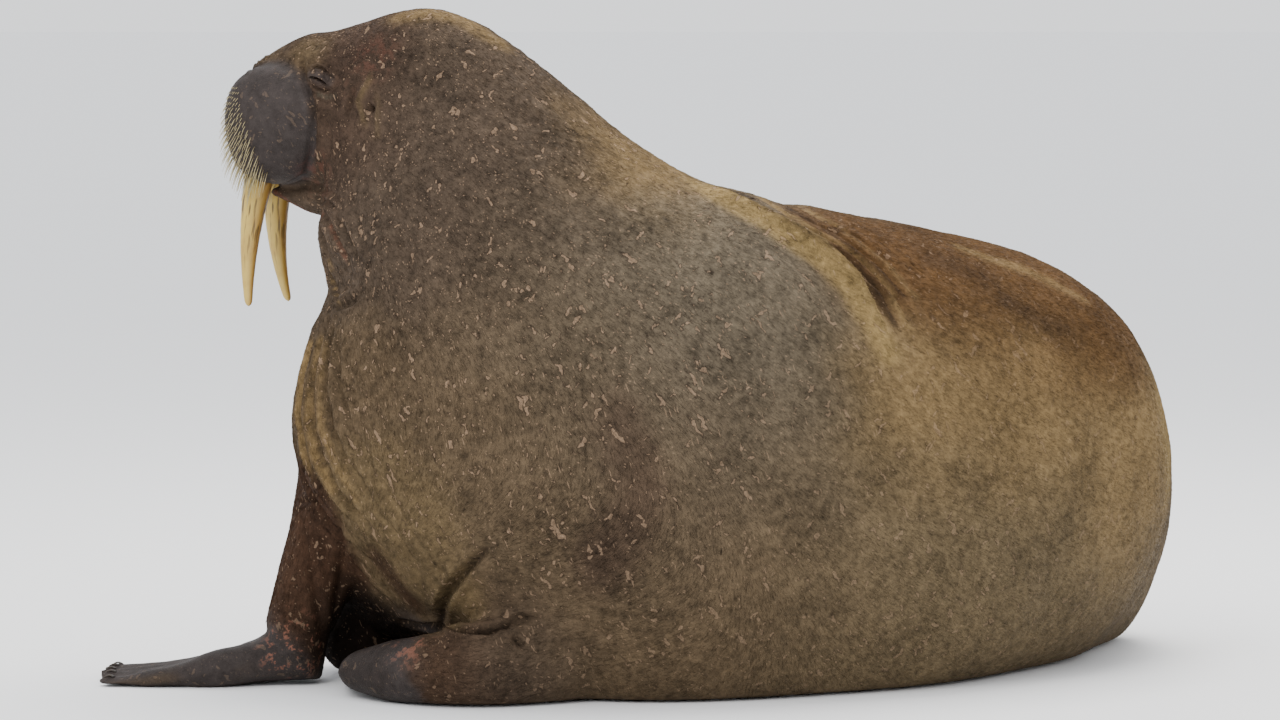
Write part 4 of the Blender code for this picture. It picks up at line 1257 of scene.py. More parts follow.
RIDGE = ((700, 184), (760, 212), (818, 246), (856, 282), (878, 322), (887, 352))
PATCHES = (
    Patch("shoulder", Pigment.ASH, ((690, 340),), 0.42),
    Patch("upper arm", Pigment.OLIVE, ((560, 430),), 0.42),
    Patch("flank", Pigment.OLIVE, ((700, 560),), 0.48),
    Patch("rear flank", Pigment.DRAB, ((940, 560),), 0.46),
    Patch("thigh", Pigment.DRAB, ((1080, 560),), 0.34),
    Patch("rump band", Pigment.TAN, ((1040, 400),), 0.24),
    Patch("rump side", Pigment.TAN, ((1130, 470),), 0.20),
    # the rump's own gold, partly a painted rim light along the rump's outline
    Patch("rump end", Pigment.GOLD, ((1166, 430),), 0.10, 0.6),
    Patch("loin", Pigment.TAN, ((920, 400),), 0.18, 0.6),
    Patch("saddle front", Pigment.CHOCOLATE, ((880, 245),), 0.16, 1.3),
    Patch("saddle", Pigment.CHOCOLATE, ((980, 278),), 0.24, 1.5),
    Patch("saddle end", Pigment.CHOCOLATE, ((1080, 322),), 0.18, 1.2),
    # the ridge's own golden hair, partly a painted highlight along its crest
    Patch("ridge", Pigment.GOLD, RIDGE, 0.030, 0.14),
    # painted shade: a dark line in the valley behind the saddle ridge
    Patch(
        "ridge valley", Pigment.SOOT,
        ((718, 184), (778, 214), (836, 248), (872, 284), (895, 324)),
        0.012, 0.035,
    ),
    # painted highlight along the crest of the next fold
    Patch(
        "second ridge", Pigment.TAN,
        ((740, 188), (796, 218), (850, 252), (888, 288), (908, 326)),
        0.012, 0.035,
    ),
    # painted shade in the next fold's valley
    Patch(
        "second valley", Pigment.SOOT,
        ((756, 190), (812, 222), (868, 258), (902, 294)),
        0.009, 0.025,
    ),
    # painted highlight along the crest of the third fold
    Patch(
        "third ridge", Pigment.TAN,
        ((776, 194), (836, 226), (886, 262), (914, 296)),
        0.010, 0.020,
    ),
    Patch("saddle dark", Pigment.SOOT, ((930, 256), (985, 276)), 0.045, 0.20),
    Patch("saddle dark below", Pigment.SOOT, ((1010, 300), (1060, 330)), 0.035, 0.12),
    Patch("saddle light", Pigment.TAN, ((960, 248), (1020, 268), (1080, 298)), 0.022, 0.10),
    Patch("shoulder dark", Pigment.BISTRE, ((620, 420), (640, 500), (600, 560)), 0.060, 0.25),
    Patch("behind the shoulder", Pigment.TAN, ((640, 165),), 0.16, 0.5),
    Patch("neck", Pigment.UMBER, ((470, 150),), 0.36),
    Patch("throat side", Pigment.UMBER, ((390, 200),), 0.26),
    Patch("cheek", Pigment.BISTRE, ((340, 130),), 0.16),
    Patch("crown", Pigment.BISTRE, ((350, 44),), 0.10, 0.8),
    Patch("brow", Pigment.STRAW, ((318, 48),), 0.05, 0.2),
    # painted highlight: the rim light of backlit hair along the top of the head and nape
    Patch("nape", Pigment.TAN, ((400, 16), (430, 11), (462, 18), (500, 42)), 0.030, 0.07),
    Patch("upper breast", Pigment.OLIVE, ((346, 370),), 0.12, 0.7),
    # pale stripes on the crests between the chest folds: partly the hair's own colour, partly painted
    # highlight
    Patch(
        "outer chest fold", Pigment.TAN,
        ((309, 345), (301, 385), (298, 420), (301, 452), (312, 486)),
        0.012, 0.022,
    ),
    Patch(
        "inner chest fold", Pigment.TAN,
        ((320, 340), (312, 385), (309, 420), (314, 452), (332, 490)),
        0.009, 0.010,
    ),
    Patch(
        "third chest fold", Pigment.TAN,
        ((326, 345), (320, 385), (321, 425), (334, 462), (356, 500)),
        0.009, 0.010,
    ),
    Patch("breast", Pigment.STRAW, ((400, 530),), 0.15, 0.8),
    Patch("breast low", Pigment.RUST, ((380, 560), (410, 596)), 0.035, 0.12),
    Patch("throat fold", Pigment.ROSE, ((331, 226), (340, 243), (346, 256)), 0.0065, 0.012, True),
    # painted highlight along the edge of a throat fold
    Patch("throat line", Pigment.TAN, ((329, 262), (334, 282), (339, 302)), 0.0055, 0.008),
    Patch(
        "lip", Pigment.ROSE,
        ((276, 193), (292, 203), (308, 211), (322, 216)),
        0.0070, 0.010, True,
    ),
    Patch("lids", Pigment.SLATE, ((313, 73), (320, 77), (328, 80)), 0.0150, 0.10, True),
    Patch("under the eye", Pigment.ASH, ((318, 94), (326, 97), (334, 96)), 0.0060, 0.016, True),
    # painted highlight on the raised rims of the ear
    Patch(
        "ear rim", Pigment.STRAW,
        ((369, 80), (362, 93), (358, 102), (361, 112), (363, 120)),
        0.0080, 0.034, True,
    ),
    Patch("ear edge", Pigment.STRAW, ((378, 100), (376, 118), (377, 134)), 0.0090, 0.012, True),
    # painted shade in the groove of the ear
    Patch("ear groove", Pigment.SOOT, ((354, 88), (351, 103), (348, 116)), 0.0060, 0.010, True),
    # painted shade in the crease behind the whisker pads
    Patch(
        "pad crease", Pigment.SOOT,
        ((302, 62), (305, 80), (310, 96), (314, 112), (313, 140)),
        0.0060, 0.012, True,
    ),
    Patch("arm fold", Pigment.STRAW, ((455, 600),), 0.07, 0.8),
    Patch("near forearm", Pigment.RUST, ((450, 672),), 0.16, 0.6),
    Patch("near forearm side", Pigment.UMBER, ((500, 672),), 0.16, 0.6),
    # painted shade in the crease where the flank hangs over the forearm
    Patch(
        "arm crease", Pigment.DUSK,
        ((487, 549), (466, 572), (450, 592), (443, 610), (442, 624)),
        0.009, 0.020,
    ),
    # painted shade in the elbow crease under the flank
    Patch(
        "elbow crease", Pigment.DUSK,
        ((424, 627), (444, 628), (466, 632), (489, 632), (506, 627)),
        0.009, 0.020,
    ),
    Patch("elbow", Pigment.RUST, ((600, 700),), 0.14, 0.6),
)
# Where the hide of the hands and feet is bare
SLATE_ZONES = (
    (body_place(-0.84, -0.03, 0.02), 0.11),
    (body_place(-0.96, -0.01, 0.02), 0.15),
    (body_place(-1.10, 0.02, 0.02), 0.16),
    (body_place(-1.20, 0.02, 0.02), 0.14),
    (body_place(-0.58, -0.36, 0.05), 0.12),
    (body_place(-0.60, -0.22, 0.05), 0.13),
    (body_place(1.04, 1.06, 0.05), 0.12),
    (body_place(1.05, 1.22, 0.02), 0.16),
    (body_place(0.74, 1.06, 0.05), 0.12),
    (body_place(0.69, 1.22, 0.02), 0.16),
)


class Markings:
    """The animal's colours, the state of its hide and some painted highlight and shade, for any place
    on it.
    """

    def __init__(self, skin: Skin, probe: Probe) -> None:
        """Finds each patch on the skin: soft ones on both flanks, lines on the near one."""
        self.skin = skin
        self.patches = []
        for patch in PATCHES:
            if len(patch.route) > 1:
                route = probe.route(patch.route, step=7.0)
                self.patches.append((route, patch))
                if patch.mirror:
                    self.patches.append((probe.mirrored(route), patch))
                continue
            for far in (False, True):
                place = probe.pixel(patch.route[0], far)
                if place is not None:
                    self.patches.append((np.array([tuple(place)]), patch))

    def hands(self, points: np.ndarray) -> np.ndarray:
        """How much a place belongs to the bare hands and feet."""
        share = np.zeros(len(points))
        for middle, reach in SLATE_ZONES:
            share = np.maximum(share, near_place(points, middle, reach, 0.06))
        return share

    def pads(self, points: np.ndarray) -> np.ndarray:
        """How much a place belongs to the bare muzzle."""
        share = near_place(points, head_point(0.375, 0.0, 0.070), 0.035, 0.030) * 0.9
        axes = np.array([tuple(axis) for axis in self.skin.pad_axes()])
        for side in Side:
            local = (points - np.array(self.skin.pad_spot(side))) @ axes.T
            local = np.abs(local) / np.array(self.skin.pad_reach)
            size = (local**self.skin.pad_power).sum(axis=1) ** (1.0 / self.skin.pad_power)
            share = np.maximum(share, 1.0 - ease((size - 0.99) / 0.14))
        return share

    def tone(self, points: np.ndarray) -> np.ndarray:
        """The base colour of each place, with the painted highlight and shade of some patches and
        painted shade under the breast and low on the near hand.
        """
        drift = np.stack([Lumps(seed).at(points, 0.11) for seed in (21, 22, 23)], axis=1) * 0.040
        drift += np.stack([Lumps(seed).at(points, 0.030) for seed in (31, 32, 33)], axis=1) * 0.014
        places = points + drift
        weight = np.full(len(points), 0.05)
        total = np.tile(np.array(Pigment.OLIVE.value), (len(points), 1)) * weight[:, None]
        for middles, patch in self.patches:
            moved = points + drift * min(1.0, patch.reach / 0.12)
            away = np.full(len(points), 1e9)
            for middle in middles:
                away = np.minimum(away, ((moved - middle) ** 2).sum(axis=1))
            power = patch.strength * (0.25 / patch.reach) ** 1.3
            share = np.exp(-1.6 * away / patch.reach**2) * power
            total += np.array(patch.pigment.value) * share[:, None]
            weight += share
        colour = total / weight[:, None]
        # painted shade: near-black in the hollow under the breast, between the forearms, fading out on
        # the near side
        hollow = near_place(points, body_place(-0.60, 0.12, 0.08), 0.19, 0.12)
        hollow *= 1.0 - ease((-0.20 - points[:, 1] - SHIFT.y) / 0.08)
        for share, pigment in (
            (near_place(places, body_place(-0.76, -0.02, 0.34), 0.17, 0.07), Pigment.RUST),
            (near_place(places, body_place(-0.76, 0.00, 0.14), 0.13, 0.07), Pigment.RUST),
            (self.pads(points + drift * 0.15), Pigment.SLATE),
            (self.hands(places), Pigment.SLATE),
            (hollow, Pigment.DUSK),
            # painted shade low on the near hand, by the floor
            (near_place(places, body_place(-0.62, -0.34, 0.06), 0.09, 0.07) * 0.50, Pigment.DUSK),
        ):
            colour = colour * (1.0 - share[:, None]) + np.array(pigment.value) * share[:, None]
        return colour

    def bare(self, points: np.ndarray) -> np.ndarray:
        """1 where the skin has no hair."""
        return np.maximum(self.pads(points), self.hands(points))

    def worn(self, points: np.ndarray) -> np.ndarray:
        """How scarred the hide is: most on the neck and shoulders, little on the rump and muzzle."""
        neck = near_place(points, body_place(-0.35, -0.2, 1.0), 0.45, 0.7)
        rear = near_place(points, body_place(1.0, 0.6, 0.5), 0.3, 0.7)
        share = 0.50 + 0.50 * neck - 0.25 * rear
        return share * (1.0 - 0.75 * self.pads(points)) * (1.0 - 0.5 * self.hands(points))

    def blush(self, points: np.ndarray) -> np.ndarray:
        """Reddish skin above the ear, round the mouth's corner and down the throat."""
        share = near_place(points, head_point(0.10, 0.0, -0.26), 0.04, 0.08) * 0.8
        for side in Side:
            for ahead, left, above, reach, soft, much in (
                (-0.005, 0.13, 0.105, 0.03, 0.05, 0.8),
                (0.13, 0.10, -0.165, 0.04, 0.06, 1.0),
                (0.05, 0.13, 0.05, 0.01, 0.05, 0.6),
            ):
                spot = head_point(ahead, left * side.value, above)
                share = np.maximum(share, near_place(points, spot, reach, soft) * much)
        return share

    def raw(self, points: np.ndarray) -> np.ndarray:
        """Pink healed sores at both wrists."""
        share = near_place(points, body_place(-0.78, -0.12, 0.09), 0.055, 0.04)
        wrist = near_place(points, body_place(-0.49, -0.42, 0.11), 0.030, 0.04)
        return np.maximum(share, wrist * 0.9)

    def dress(
        self,
        thing: bpy.types.Object,
        points: np.ndarray,
        repeat: int = 1,
        vary: np.ndarray | None = None,
    ) -> None:
        """Paints the marks of places on a mesh.

        Args:
            thing: the piece to paint.
            points: the places to read.
            repeat: how many of the mesh's points stand at each place.
            vary: how much lighter or darker each place is than the skin.
        """
        tone = self.tone(points)
        if vary is not None:
            tone = tone * vary[:, None]
        paint_points(thing, "tone", np.repeat(tone, repeat, axis=0))
        for name in ("bare", "worn", "raw", "blush"):
            paint_points(thing, name, np.repeat(getattr(self, name)(points), repeat))


# Eyes, tusks, bristles and claws


@dataclass
class Eye:
    """One eyeball behind its lids."""

    side: Side
    radius: float = 0.0195

    def build(self, middle: Vector, material: bpy.types.Material) -> bpy.types.Object:
        """Makes the eyeball round its middle, with its pupil facing outward."""
        bpy.ops.mesh.primitive_uv_sphere_add(segments=48, ring_count=32, radius=self.radius)
        ball = bpy.context.object
        ball.name = "eyeball_" + self.side.word
        _, out, _ = eye_axes(self.side)
        points = read_points(ball)
        facing = points @ np.array(out) / self.radius
        off_axis = np.arccos(np.clip(facing, -1.0, 1.0))
        write_points(ball, points + np.array(middle))
        bpy.ops.object.shade_smooth()
        paint_points(ball, "off_axis", off_axis)
        ball.data.materials.append(material)
        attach(ball, BODY)
        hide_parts("eye_" + self.side.word)
        return ball


@dataclass
class Tusk:
    """One long canine: oval, curved back and outward, cracked and worn blunt."""

    side: Side
    half_depth: float = 0.041
    half_width: float = 0.030
    rings: int = 90
    sides: int = 48

    def middle(self, down: float) -> Vector:
        """The middle line, from 0 at the hidden root to 1 at the tip."""
        ahead = 0.309 + 0.093 * down - 0.077 * down * down
        out = 0.050 + 0.0245 * down + 0.036 * down * down
        return head_point(ahead, self.side.value * out, -0.105 - 0.345 * down)

    def build(self, material: bpy.types.Material) -> bpy.types.Object:
        """Makes the tusk with grooves down its length and a rounded tip."""
        points, along, shade, grow = [], [], [], []
        grain = Lumps(40 + self.side.value)
        for i in range(self.rings):
            down = i / (self.rings - 1)
            tip = max(0.0, (down - 0.955) / 0.045)
            radius = (1.0 - 0.80 * down) * math.sqrt(max(0.0, 1.0 - tip**2))
            spins = np.arange(self.sides) * 2 * math.pi / self.sides
            spots = np.stack([spins * 3.2, spins * 0, np.full(self.sides, down * 2.0)], axis=1)
            groove = grain.at(spots, 1.0)
            groove = np.where(spins > 5.8, 0.0, groove) * 0.016 * (1.0 - 0.6 * down)
            bands = 0.006 * math.sin(down * 90.0) + 0.005 * math.sin(down * 41.0 + 1.0)
            for spin, dent in zip(spins, groove):
                reach = radius * (1.0 + dent + bands * (1.0 - tip))
                points.append(
                    self.middle(down)
                    + HEAD_FORWARD * (self.half_depth * reach * math.cos(spin))
                    + HEAD_LEFT * (self.half_width * reach * math.sin(spin))
                )
                along.append(down)
                shade.append(max(0.0, -math.cos(spin)) ** 1.5)
                grow.append((spin / (2 * math.pi) * 0.2, down))
        count = len(points)
        points += [self.middle(0.0) + UP * 0.004, self.middle(1.0)]
        along += [0.0, 1.0]
        shade += [0.0, 0.5]
        grow += [(0.1, 0.0), (0.1, 1.0)]
        faces = []
        for i in range(self.rings - 1):
            for k in range(self.sides):
                n = (k + 1) % self.sides
                a, b = i * self.sides, (i + 1) * self.sides
                faces += [(a + k, b + n, a + n), (a + k, b + k, b + n)]
        last = (self.rings - 1) * self.sides
        for k in range(self.sides):
            n = (k + 1) % self.sides
            faces += [(k, n, count), (last + n, last + k, count + 1)]
        triangles = np.array(faces)
        places = np.array([tuple(p) for p in points])
        tusk = add_mesh("tusk_ivory_" + self.side.word, places, triangles)
        layer = tusk.data.uv_layers.new(name="grow")
        layer.data.foreach_set("uv", np.array(grow)[triangles.ravel()].astype(np.float32).ravel())
        paint_points(tusk, "along", np.array(along))
        paint_points(tusk, "shade", np.array(shade))
        tusk.data.materials.append(material)
        self.turn_outward(tusk)
        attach(tusk, BODY)
        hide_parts("tusk_" + self.side.word)
        return tusk

    @staticmethod
    def turn_outward(tusk: bpy.types.Object) -> None:
        """Makes every face point away from the tusk."""
        only(tusk)
        bpy.ops.object.mode_set(mode="EDIT")
        bpy.ops.mesh.select_all(action="SELECT")
        bpy.ops.mesh.remove_doubles(threshold=0.000001)
        bpy.ops.mesh.normals_make_consistent(inside=False)
        bpy.ops.object.mode_set(mode="OBJECT")


class Spines:
    """Many tapered, curved spines kept as arrays and made one mesh."""

    def __init__(self, sides: int) -> None:
        """Starts with none."""
        self.sides = sides
        self.points: list[np.ndarray] = []
        self.along: list[np.ndarray] = []
        self.faces: list[np.ndarray] = []
        self.count = 0

    def add(
        self,
        route: np.ndarray,
        radii: np.ndarray,
        squash: float = 1.0,
        across: Vector | None = None,
    ) -> None:
        """Adds one spine.

        Args:
            route: its middle line, one row for each ring.
            radii: its radius at each ring.
            squash: how much flatter it is one way than the other.
            across: the direction of its wide side.
        """
        ahead = np.gradient(route, axis=0)
        ahead /= np.linalg.norm(ahead, axis=1)[:, None]
        wide = np.array(across) if across is not None else np.array(Vector(ahead[0]).orthogonal())
        spins = np.arange(self.sides) * 2 * math.pi / self.sides
        rings = []
        for place, way, radius in zip(route, ahead, radii):
            wide = wide - way * (wide @ way)
            wide /= np.linalg.norm(wide)
            other = np.cross(way, wide)
            ring = np.outer(np.cos(spins), wide) + squash * np.outer(np.sin(spins), other)
            rings.append(place + radius * ring)
        tip = route[-1] + ahead[-1] * radii[-1]
        points = np.concatenate(rings + [route[:1], tip[None]])
        self.points.append(points)
        along = np.repeat(np.linspace(0, 1, len(route)), self.sides)
        self.along.append(np.concatenate([along, [0.0, 1.0]]))
        self.faces.append(self._skin(len(route)) + self.count)
        self.count += len(points)

    def _skin(self, rings: int) -> np.ndarray:
        """The triangles of a spine with so many rings."""
        faces = []
        for i in range(rings - 1):
            for k in range(self.sides):
                n = (k + 1) % self.sides
                a, b = i * self.sides, (i + 1) * self.sides
                faces += [(a + k, a + n, b + n), (a + k, b + n, b + k)]
        last = (rings - 1) * self.sides
        for k in range(self.sides):
            n = (k + 1) % self.sides
            faces += [(n, k, rings * self.sides), (last + k, last + n, rings * self.sides + 1)]
        return np.array(faces)

    def make(self, name: str, material: bpy.types.Material) -> bpy.types.Object:
        """Joins the spines into one piece."""
        piece = add_mesh(name, np.concatenate(self.points), np.concatenate(self.faces))
        paint_points(piece, "along", np.concatenate(self.along))
        piece.data.materials.append(material)
        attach(piece, BODY)
        return piece


@dataclass
class Bristles:
    """Stiff whiskers in close rows over the front of both pads."""

    rows: int = 20
    columns: int = 19
    seed: int = 5

    def build(self, skin: Skin, probe: Probe, material: bpy.types.Material) -> bpy.types.Object:
        """Sets the whiskers on the skin, short high up and long and drooping low down.

        Args:
            skin: the skin's sizes, which give the pads' middles and directions.
            probe: finds the places on the skin.
            material: the bristles' horn.

        Returns:
            The piece.
        """
        rng = np.random.default_rng(self.seed)
        spines = Spines(4)
        ahead, left, upper = skin.pad_axes()
        for side in Side:
            middle = skin.pad_spot(side)
            for row in range(self.rows):
                low = row / (self.rows - 1)
                rise = math.radians(46 - 104 * low)
                reach = 84 + 34 * low**0.6
                for column in range(self.columns):
                    share = (column + 0.5 * (row % 2) + rng.uniform(-0.2, 0.2)) / self.columns
                    turn = math.radians(-34 + reach * share)
                    aim = ahead * math.cos(turn) + left * (side.value * math.sin(turn))
                    aim *= math.cos(rise)
                    aim += upper * (math.sin(rise) + rng.uniform(-0.02, 0.02))
                    place, out = probe.line(middle + aim * 0.4, -aim)
                    if place is None or (place - EAR_MIDDLE).dot(HEAD_LEFT) * side.value < 0.006:
                        continue
                    self.add_one(spines, rng, place, out, low, share, side)
        piece = spines.make("bristles", material)
        return piece

    def add_one(
        self,
        spines: Spines,
        rng: np.random.Generator,
        place: Vector,
        out: Vector,
        low: float,
        share: float,
        side: Side,
    ) -> None:
        """Adds one whisker that leaves the skin, bends down and tapers.

        Args:
            spines: the whiskers so far.
            rng: the source of its small differences.
            place: its root.
            out: the skin's facing there.
            low: how far down the pad it stands, from 0 to 1.
            share: how far round the pad it stands, from 0 at the front to 1.
            side: the pad's side.
        """
        length = (0.016 + 0.058 * low**1.3) * (1.0 - 0.30 * share) * rng.uniform(0.65, 1.15)
        sweep = HEAD_LEFT * (side.value * rng.uniform(-0.10, 0.18))
        aim = (out * 0.55 + HEAD_FORWARD * 0.22 - UP * (0.55 + 0.30 * low) + sweep).normalized()
        droop = (aim - UP * 0.55 - out * 0.25).normalized()
        steps = np.linspace(0.0, 1.0, 6)
        start = place - out * 0.003
        bend = droop - aim
        route = np.array([tuple(start + (aim * s + bend * (s * s * 0.5)) * length) for s in steps])
        radii = (0.00112 + 0.00022 * low) * (1.0 - 0.75 * steps)
        spines.add(route, radii)


@dataclass
class Claws:
    """A small blunt claw set back from the tip of each digit."""

    size: float = 0.8

    def build(self, probe: Probe, material: bpy.types.Material) -> bpy.types.Object:
        """Sets five claws on each hand and foot.

        Args:
            probe: finds the places on the skin.
            material: the claws' horn.

        Returns:
            The piece.
        """
        spines = Spines(8)
        for hand in FLIPPER_TIPS:
            ahead = Vector((-math.cos(hand.yaw), -math.sin(hand.yaw), 0.0))
            left = Vector((math.sin(hand.yaw), -math.cos(hand.yaw), 0.0))
            for digit, reach in enumerate(hand.reaches):
                aside = left * (hand.half_width * (0.8 - 0.4 * digit))
                base = body_place(*hand.middle) + ahead * (reach - 0.034) + aside
                place, out = probe.line(base + UP * 0.2, -UP)
                if place is None or not 0.004 < place.z < 0.06:
                    continue
                steps = np.linspace(0.0, 1.0, 7)
                route = []
                for s in steps:
                    arch = out * (0.0045 * math.sin(math.pi * s) - 0.0015)
                    route.append(tuple(place - ahead * 0.006 + ahead * (0.024 * s) + arch))
                radii = 0.0058 * (1.0 - 0.72 * steps**1.6) * self.size
                spines.add(np.array(route), radii, 0.55, left)
        piece = spines.make("claws", material)
        return piece


@dataclass(frozen=True)
class Tips:
    """The end of a hand or foot: its middle, half width, facing and how far each digit reaches."""

    middle: Place
    half_width: float
    yaw: float
    reaches: tuple[float, ...]


FLIPPER_TIPS = (
    Tips((-1.188, 0.022, 0.008), 0.150, math.radians(-9), (0.012, 0.024, 0.040, 0.048, 0.056)),
    Tips((-0.525, 0.080, 0.007), 0.118, math.radians(-105), (0.056, 0.048, 0.040, 0.024, 0.012)),
    Tips((1.048, 1.250, 0.007), 0.150, math.radians(-91), (0.055, 0.022, 0.010, 0.022, 0.055)),
    Tips((0.674, 1.245, 0.007), 0.150, math.radians(-70), (0.055, 0.022, 0.010, 0.022, 0.055)),
)


# The coat


@dataclass(frozen=True)
class Lie:
    """Which way the hair lies round a place."""

    place: Place
    way: Place


LIES = (
    Lie((-0.85, 0.10, 1.36), (0.9, -0.3, 0.1)),
    Lie((-0.60, 0.04, 1.30), (0.8, -0.1, -0.7)),
    Lie((-0.45, 0.00, 1.10), (0.75, 0.0, -0.75)),
    Lie((-0.34, -0.02, 0.89), (0.75, 0.0, -0.65)),
    Lie((-0.14, -0.03, 0.65), (0.85, 0.05, -0.5)),
    Lie((0.10, 0.00, 0.54), (0.9, 0.1, -0.45)),
    Lie((0.36, 0.12, 0.50), (0.85, 0.4, -0.42)),
    Lie((0.66, 0.32, 0.49), (0.75, 0.6, -0.42)),
    Lie((0.86, 0.52, 0.46), (0.6, 0.7, -0.45)),
    Lie((1.00, 0.74, 0.36), (0.5, 0.8, -0.45)),
    Lie((-0.72, 0.00, 0.45), (-0.25, -0.05, -1.0)),
    Lie((-0.77, -0.03, 0.20), (-0.2, 0.0, -1.0)),
    Lie((-0.95, 0.00, 0.04), (-1.0, 0.1, -0.1)),
    Lie((-0.20, -0.38, 0.14), (-0.95, -0.2, -0.2)),
    Lie((-0.45, -0.40, 0.08), (-0.95, 0.2, -0.1)),
    Lie((-0.56, -0.15, 0.05), (0.2, 1.0, 0.0)),
    Lie((1.04, 1.10, 0.05), (0.0, 1.0, -0.1)),
    Lie((0.72, 1.10, 0.05), (-0.3, 1.0, -0.1)),
)


@dataclass
class Coat:
    """Short tapered tufts that lie along the body all over it."""

    pieces: int = 6
    tufts: int = 48000
    length: float = 0.0125
    half_width: float = 0.00062
    patch: float = 0.003
    map_triangles: int = 16000
    lids_side: float = 0.137
    lids_reach: float = 0.024
    seed: int = 9

    def unwrap(self, skin: bpy.types.Object) -> tuple[BVHTree, np.ndarray, np.ndarray, np.ndarray]:
        """Unfolds a coarse copy of the skin, so that each tuft has a place of its own on the map.

        Args:
            skin: the finished skin.

        Returns:
            The copy's search tree, its points, its triangles and the map place of each corner.
        """
        copy = bpy.data.objects.new("unwrap", skin.data.copy())
        bpy.context.scene.collection.objects.link(copy)
        ratio = self.map_triangles / len(skin.data.polygons)
        apply(copy, "DECIMATE", ratio=ratio, use_collapse_triangulate=True)
        only(copy)
        bpy.ops.object.mode_set(mode="EDIT")
        bpy.ops.mesh.select_all(action="SELECT")
        bpy.ops.uv.smart_project(angle_limit=math.radians(66.0), island_margin=0.004)
        bpy.ops.object.mode_set(mode="OBJECT")
        corners = np.empty(len(copy.data.loops) * 2, np.float32)
        copy.data.uv_layers.active.data.foreach_get("uv", corners)
        points = read_points(copy)
        triangles = np.empty(len(copy.data.loops), np.int32)
        copy.data.loops.foreach_get("vertex_index", triangles)
        triangles = triangles.reshape(-1, 3)
        tree = BVHTree.FromPolygons(points.tolist(), triangles.tolist())
        bpy.data.objects.remove(copy)
        return tree, points, triangles, corners.reshape(-1, 3, 2)

    def map_places(self, roots: np.ndarray, unwrap: tuple) -> np.ndarray:
        """The map place of each root."""
        tree, points, triangles, corners = unwrap
        places, faces = [], []
        for root in roots:
            place, _, face, _ = tree.find_nearest(root.tolist())
            places.append(tuple(place))
            faces.append(face)
        spot = np.array(places)
        face = np.array(faces)
        a, b, c = (points[triangles[face, k]] for k in range(3))
        ab, ac, ap = b - a, c - a, spot - a
        d00 = (ab * ab).sum(1)
        d01 = (ab * ac).sum(1)
        d11 = (ac * ac).sum(1)
        d20 = (ap * ab).sum(1)
        d21 = (ap * ac).sum(1)
        scale = np.maximum(d00 * d11 - d01 * d01, 1e-18)
        v = np.clip((d11 * d20 - d01 * d21) / scale, 0.0, 1.0)
        w = np.clip((d00 * d21 - d01 * d20) / scale, 0.0, 1.0)
        uv = corners[face]
        return uv[:, 0] * (1.0 - v - w)[:, None] + uv[:, 1] * v[:, None] + uv[:, 2] * w[:, None]

    def ways(self, points: np.ndarray) -> np.ndarray:
        """Which way the hair lies at each place."""
        total = np.zeros((len(points), 3))
        for lie in LIES:
            away = np.linalg.norm(points - np.array(body_place(*lie.place)), axis=1)
            total += np.array(lie.way) / (away[:, None] ** 3 + 0.001)
        return total

    def build(
        self, skin: bpy.types.Object, marks: Markings, material: bpy.types.Material
    ) -> list[bpy.types.Object]:
        """Grows the coat on the skin.

        Args:
            skin: the finished skin.
            marks: the animal's markings.
            material: the hide's own material.

        Returns:
            The coat's pieces.
        """
        rng = np.random.default_rng(self.seed)
        points, normals = read_points(skin), read_normals(skin)
        triangles = read_triangles(skin)
        a, b, c = (points[triangles[:, k]] for k in range(3))
        area = np.linalg.norm(np.cross(b - a, c - a), axis=1) / 2
        middle = (a + b + c) / 3
        head = np.linalg.norm(middle - np.array(head_point(0.16, 0.0, 0.0)), axis=1)
        finer = 1.0 + 0.8 * (1.0 - ease((head - 0.15) / 0.25))
        weight = area * (1.0 - marks.bare(middle)) * (middle[:, 2] > 0.012) * finer
        for side in Side:
            lids = np.array(head_point(0.146, self.lids_side * side.value, 0.057))
            weight *= np.linalg.norm(middle - lids, axis=1) > self.lids_reach
        chance = np.cumsum(weight) / weight.sum()
        unwrap = self.unwrap(skin)
        made = []
        for piece in range(self.pieces):
            pick = np.searchsorted(chance, rng.random(self.tufts))
            u, v = rng.random(self.tufts), rng.random(self.tufts)
            flip = u + v > 1.0
            u[flip], v[flip] = 1.0 - u[flip], 1.0 - v[flip]
            corner = triangles[pick]
            shares = ((0, 1.0 - u - v), (1, u), (2, v))
            roots = sum(points[corner[:, k]] * share[:, None] for k, share in shares)
            facing = sum(normals[corner[:, k]] * share[:, None] for k, share in shares)
            facing /= np.linalg.norm(facing, axis=1)[:, None]
            made.append(self.grow(f"coat_{piece + 1}", roots, facing, unwrap, marks, material, rng))
        return made

